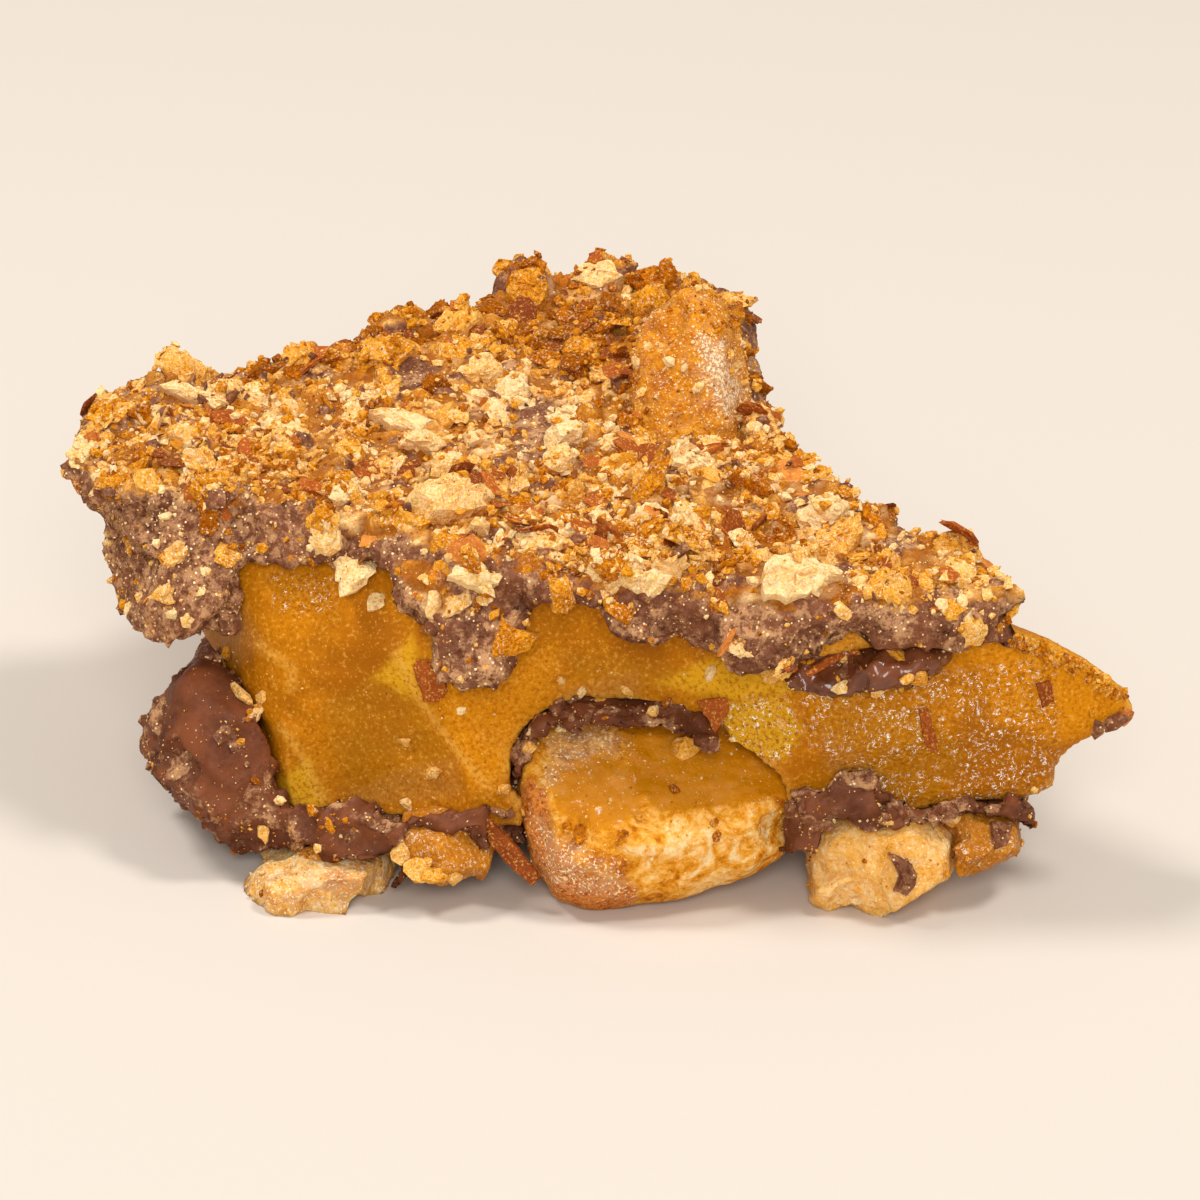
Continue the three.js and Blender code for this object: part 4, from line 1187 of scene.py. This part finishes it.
# Almonds
def make_almonds(material):
    """The broken almonds under the piece, and the one that stands on it."""
    nuts = []
    for row, (name, nature) in enumerate(ALMONDS.items()):
        nut = fine_copy(f"almond_{name}", f"nut_{name}", SMALL_VOXEL, nature["smoothing"])
        chipped(nut, seed=30 + row, count=nature["chips"], reach=1.8, depth=nature["depth"])
        roughened(nut, (0.16, 2.4), (0.07, 0.8), (0.04, 0.4), row=20 + 3 * row)
        masks = {"toast": nature["toast"], "dusty": nature["dusty"], "marbled": nature["marbled"]}
        if name == "front":
            masks |= {kind: painted(nut, spots, ALMOND_BLUR) for kind, spots in ALMOND_REGIONS.items()}
        else:
            masks["skin"] = nature["skin"] * fade(lumps(points_of(nut), 3, row=40 + row), 0.2, 0.5)
        if name == "top":
            masks["dusty"] = nature["dusty"] + painted(nut, STANDING_POWDER, ALMOND_BLUR)
        mark(nut, **masks)
        dress(nut, material, "almond", f"almond_{name}")
        nuts.append(nut)
    return nuts


# Strewn crumbs
def top_cover(middles, normals):
    """The upper coat's top, but for bare patches and the flakes that stand out, and more in heaps."""
    flakes = [flake["outline"] for flake in NUT_FLAKES.values()]
    cover = fade(normals[:, 2], 0.4, 0.75)
    cover *= 1 - 0.97 * covered(middles, flakes, 12)
    cover *= 1 - 0.8 * covered(middles, BARE_PATCHES, PATCH_BLUR)
    return cover * (1 + 1.5 * covered(middles, HEAPS, 60))


def clumped_cover(middles, normals):
    """The upper coat's top, in clumps."""
    return top_cover(middles, normals) * (0.15 + fade(lumps(middles, 1.8, row=16), -0.1, 0.4))


def side_cover(middles, normals):
    """The upper coat's sides, most of all its left lobe."""
    lobe = 0.35 + fade(-middles[:, 0], 13, 17)
    return np.where(normals[:, 2] < -0.5, 0, lobe * (1 - fade(normals[:, 2], 0.3, 0.6)))


def patchy_cover(middles, normals):
    """Crumbs gather in patches on the broken sides and underneath."""
    return np.where(normals[:, 2] > 0.8, 0.1, 0.1 + fade(lumps(middles, 2.6, row=14), 0.0, 0.4))


def even_cover(middles, normals):
    """Crumbs lie evenly on what looks up or sideways."""
    return 0.05 + fade(normals[:, 2], -0.4, 0.2)


COVERS = {
    "top": top_cover,
    "clumps": clumped_cover,
    "sides": side_cover,
    "undercoat": patchy_cover,
    "toffee": patchy_cover,
    "nuts": even_cover,
    "standing": even_cover,
}


def lay_seen(crumbs, spots, everything):
    """Lays crumbs on what the photo's view shows at their pixels."""
    for pixel, size, toast in spots:
        found = everything.seen_at(pixel)
        if found:
            crumbs.lay_one(found, size, toast)


def add_flakes(crumbs, flakes, everything):
    """Adds the flakes that stand out."""
    for flake in flakes.values():
        shape = {name: value for name, value in flake.items() if name != "toast"}
        points = flake_points(everything, crumbs.rng, **shape)
        crumbs.add(points[None], flake_faces(), np.array([flake.get("toast", 0)]))


def lay_chunks(coat, everything):
    """Large broken almonds: the even spread on the coat, and the ones that stand out."""
    chunks = Crumbs(seed=1, detail=3, breaks=9)
    bare = Ground(coat)
    for (x, y), length in zip(*even_spread(UPPER_CRUMBS)):
        found = bare.land((x, y, DROP_HEIGHT), -UP)
        if found and found[1][2] > 0.2:
            toast = crumb_toasts(chunks.rng, found[0][None])[0]
            chunks.lay_one(found, np.array(CRUMB_SHAPE) * length * CRUMB_COVER, toast, sunk=0.72)
    for crumb in LARGE_CRUMBS.values():
        x, y = np.array(crumb["at"]) + ORIGIN[:2]
        chunks.lay_one(bare.land((x, y, DROP_HEIGHT), -UP), crumb["size"], crumb["toast"], sunk=0.7)
    lay_seen(chunks, TOP_CRUMBS, everything)
    add_flakes(chunks, NUT_FLAKES, everything)
    return chunks.gathered("almond_chunks")


def lay_front_crumbs(everything):
    """Crumbs that stuck to the broken front, and the row of them along the tip."""
    stuck = Crumbs(seed=9, detail=2, breaks=8)
    lay_seen(stuck, FRONT_CRUMBS, everything)
    columns, rows = np.array(TIP_EDGE).T
    for right in np.linspace(columns[0], columns[-1], TIP_CRUMBS):
        pixel = (right, np.interp(right, columns, rows) + stuck.rng.uniform(-6, 10))
        size = stuck.rng.uniform(0.25, 0.7, 3)
        lay_seen(stuck, [(pixel, size, stuck.rng.uniform(0.3, 0.9))], everything)
    return stuck.gathered("front_crumbs")


def strew(grounds, finishes):
    """Strews crumbs of all kinds, from chunks to meal. Smaller ones lie on the larger almonds too."""
    everything = Ground(*sum(grounds.values(), []))
    grounds["standing"] = grounds["nuts"][-1:]
    chunks = lay_chunks(grounds["coat"][0], everything)
    grounds["coat"].append(chunks)
    for piece in (chunks, lay_front_crumbs(everything)):
        dress(piece, finishes["almond"], "nut_crumbs")
    for row, (name, kind) in enumerate(STREWN.items()):
        crumbs = Crumbs(2 + row, kind["detail"], kind["breaks"], kind.get("curl", 0))
        for place, count in kind["on"].items():
            ground = Ground(*grounds.get(place, grounds["coat"]))
            points, normals = ground.sown(count, COVERS[place], crumbs.rng)
            sizes = crumb_sizes(crumbs.rng, count, kind["length"], kind["flatness"])
            toasts = crumb_toasts(crumbs.rng, points)
            crumbs.lay(points, normals, sizes, toasts, kind["tilt"], kind["sunk"])
        add_flakes(crumbs, kind.get("flakes", {}), everything)
        lay_seen(crumbs, kind.get("singles", []), everything)
        piece = crumbs.gathered(name)
        if kind.get("carries"):
            grounds["coat"].append(piece)
        mark(piece, **kind.get("marks", {}))
        dress(piece, finishes[kind.get("finish", "almond")], kind.get("slot", "nut_crumbs"))


# Studio
def make_studio():
    """A plain pale table, three soft lights and the photo's view."""
    bpy.ops.mesh.primitive_plane_add(size=TABLE_SIZE)
    table = bpy.context.object
    table.name = "table"
    table.data.materials.append(floor_finish())
    world = bpy.data.worlds.new("studio")
    world.use_nodes = True
    world.node_tree.nodes["Background"].inputs["Color"].default_value = WORLD_WARMTH
    world.node_tree.nodes["Background"].inputs["Strength"].default_value = WORLD_LIGHT
    bpy.context.scene.world = world
    for name, lit in LIGHTS.items():
        lamp = bpy.data.lights.new(name, "AREA")
        lamp.shape = "DISK"
        lamp.size = lit["size"]
        lamp.energy = lit["watts"]
        light = bpy.data.objects.new(name, lamp)
        light.location = lit["at"]
        light.rotation_euler = (LIT_POINT - light.location).to_track_quat("-Z", "Y").to_euler()
        bpy.context.collection.objects.link(light)
    lens = bpy.data.cameras.new("photo_view")
    lens.sensor_width = SENSOR_WIDTH
    lens.lens = FOCAL_PIXELS * SENSOR_WIDTH / PHOTO_SIDE
    lens.clip_start = NEAREST_SEEN
    camera = bpy.data.objects.new("photo_view", lens)
    camera.location = EYE * MM
    camera.rotation_euler = (math.pi / 2 - VIEW_RAISED, 0, 0)
    bpy.context.collection.objects.link(camera)
    bpy.context.scene.camera = camera
    bpy.context.scene.view_settings.view_transform = "Standard"


make_studio()
finishes = {
    "toffee": toffee_finish(),
    "chocolate": chocolate_finish(),
    "almond": nut_finish(),
    "almond_skin": skin_finish(),
}
grounds = {
    "coat": [make_upper_coat(finishes["chocolate"])],
    "undercoat": [make_lower_coat(finishes["chocolate"]), make_streak(finishes["chocolate"])],
    "toffee": [make_toffee(finishes["toffee"]), *make_chips(finishes["toffee"])],
    "nuts": make_almonds(almond_finish()),
}
strew(grounds, finishes)
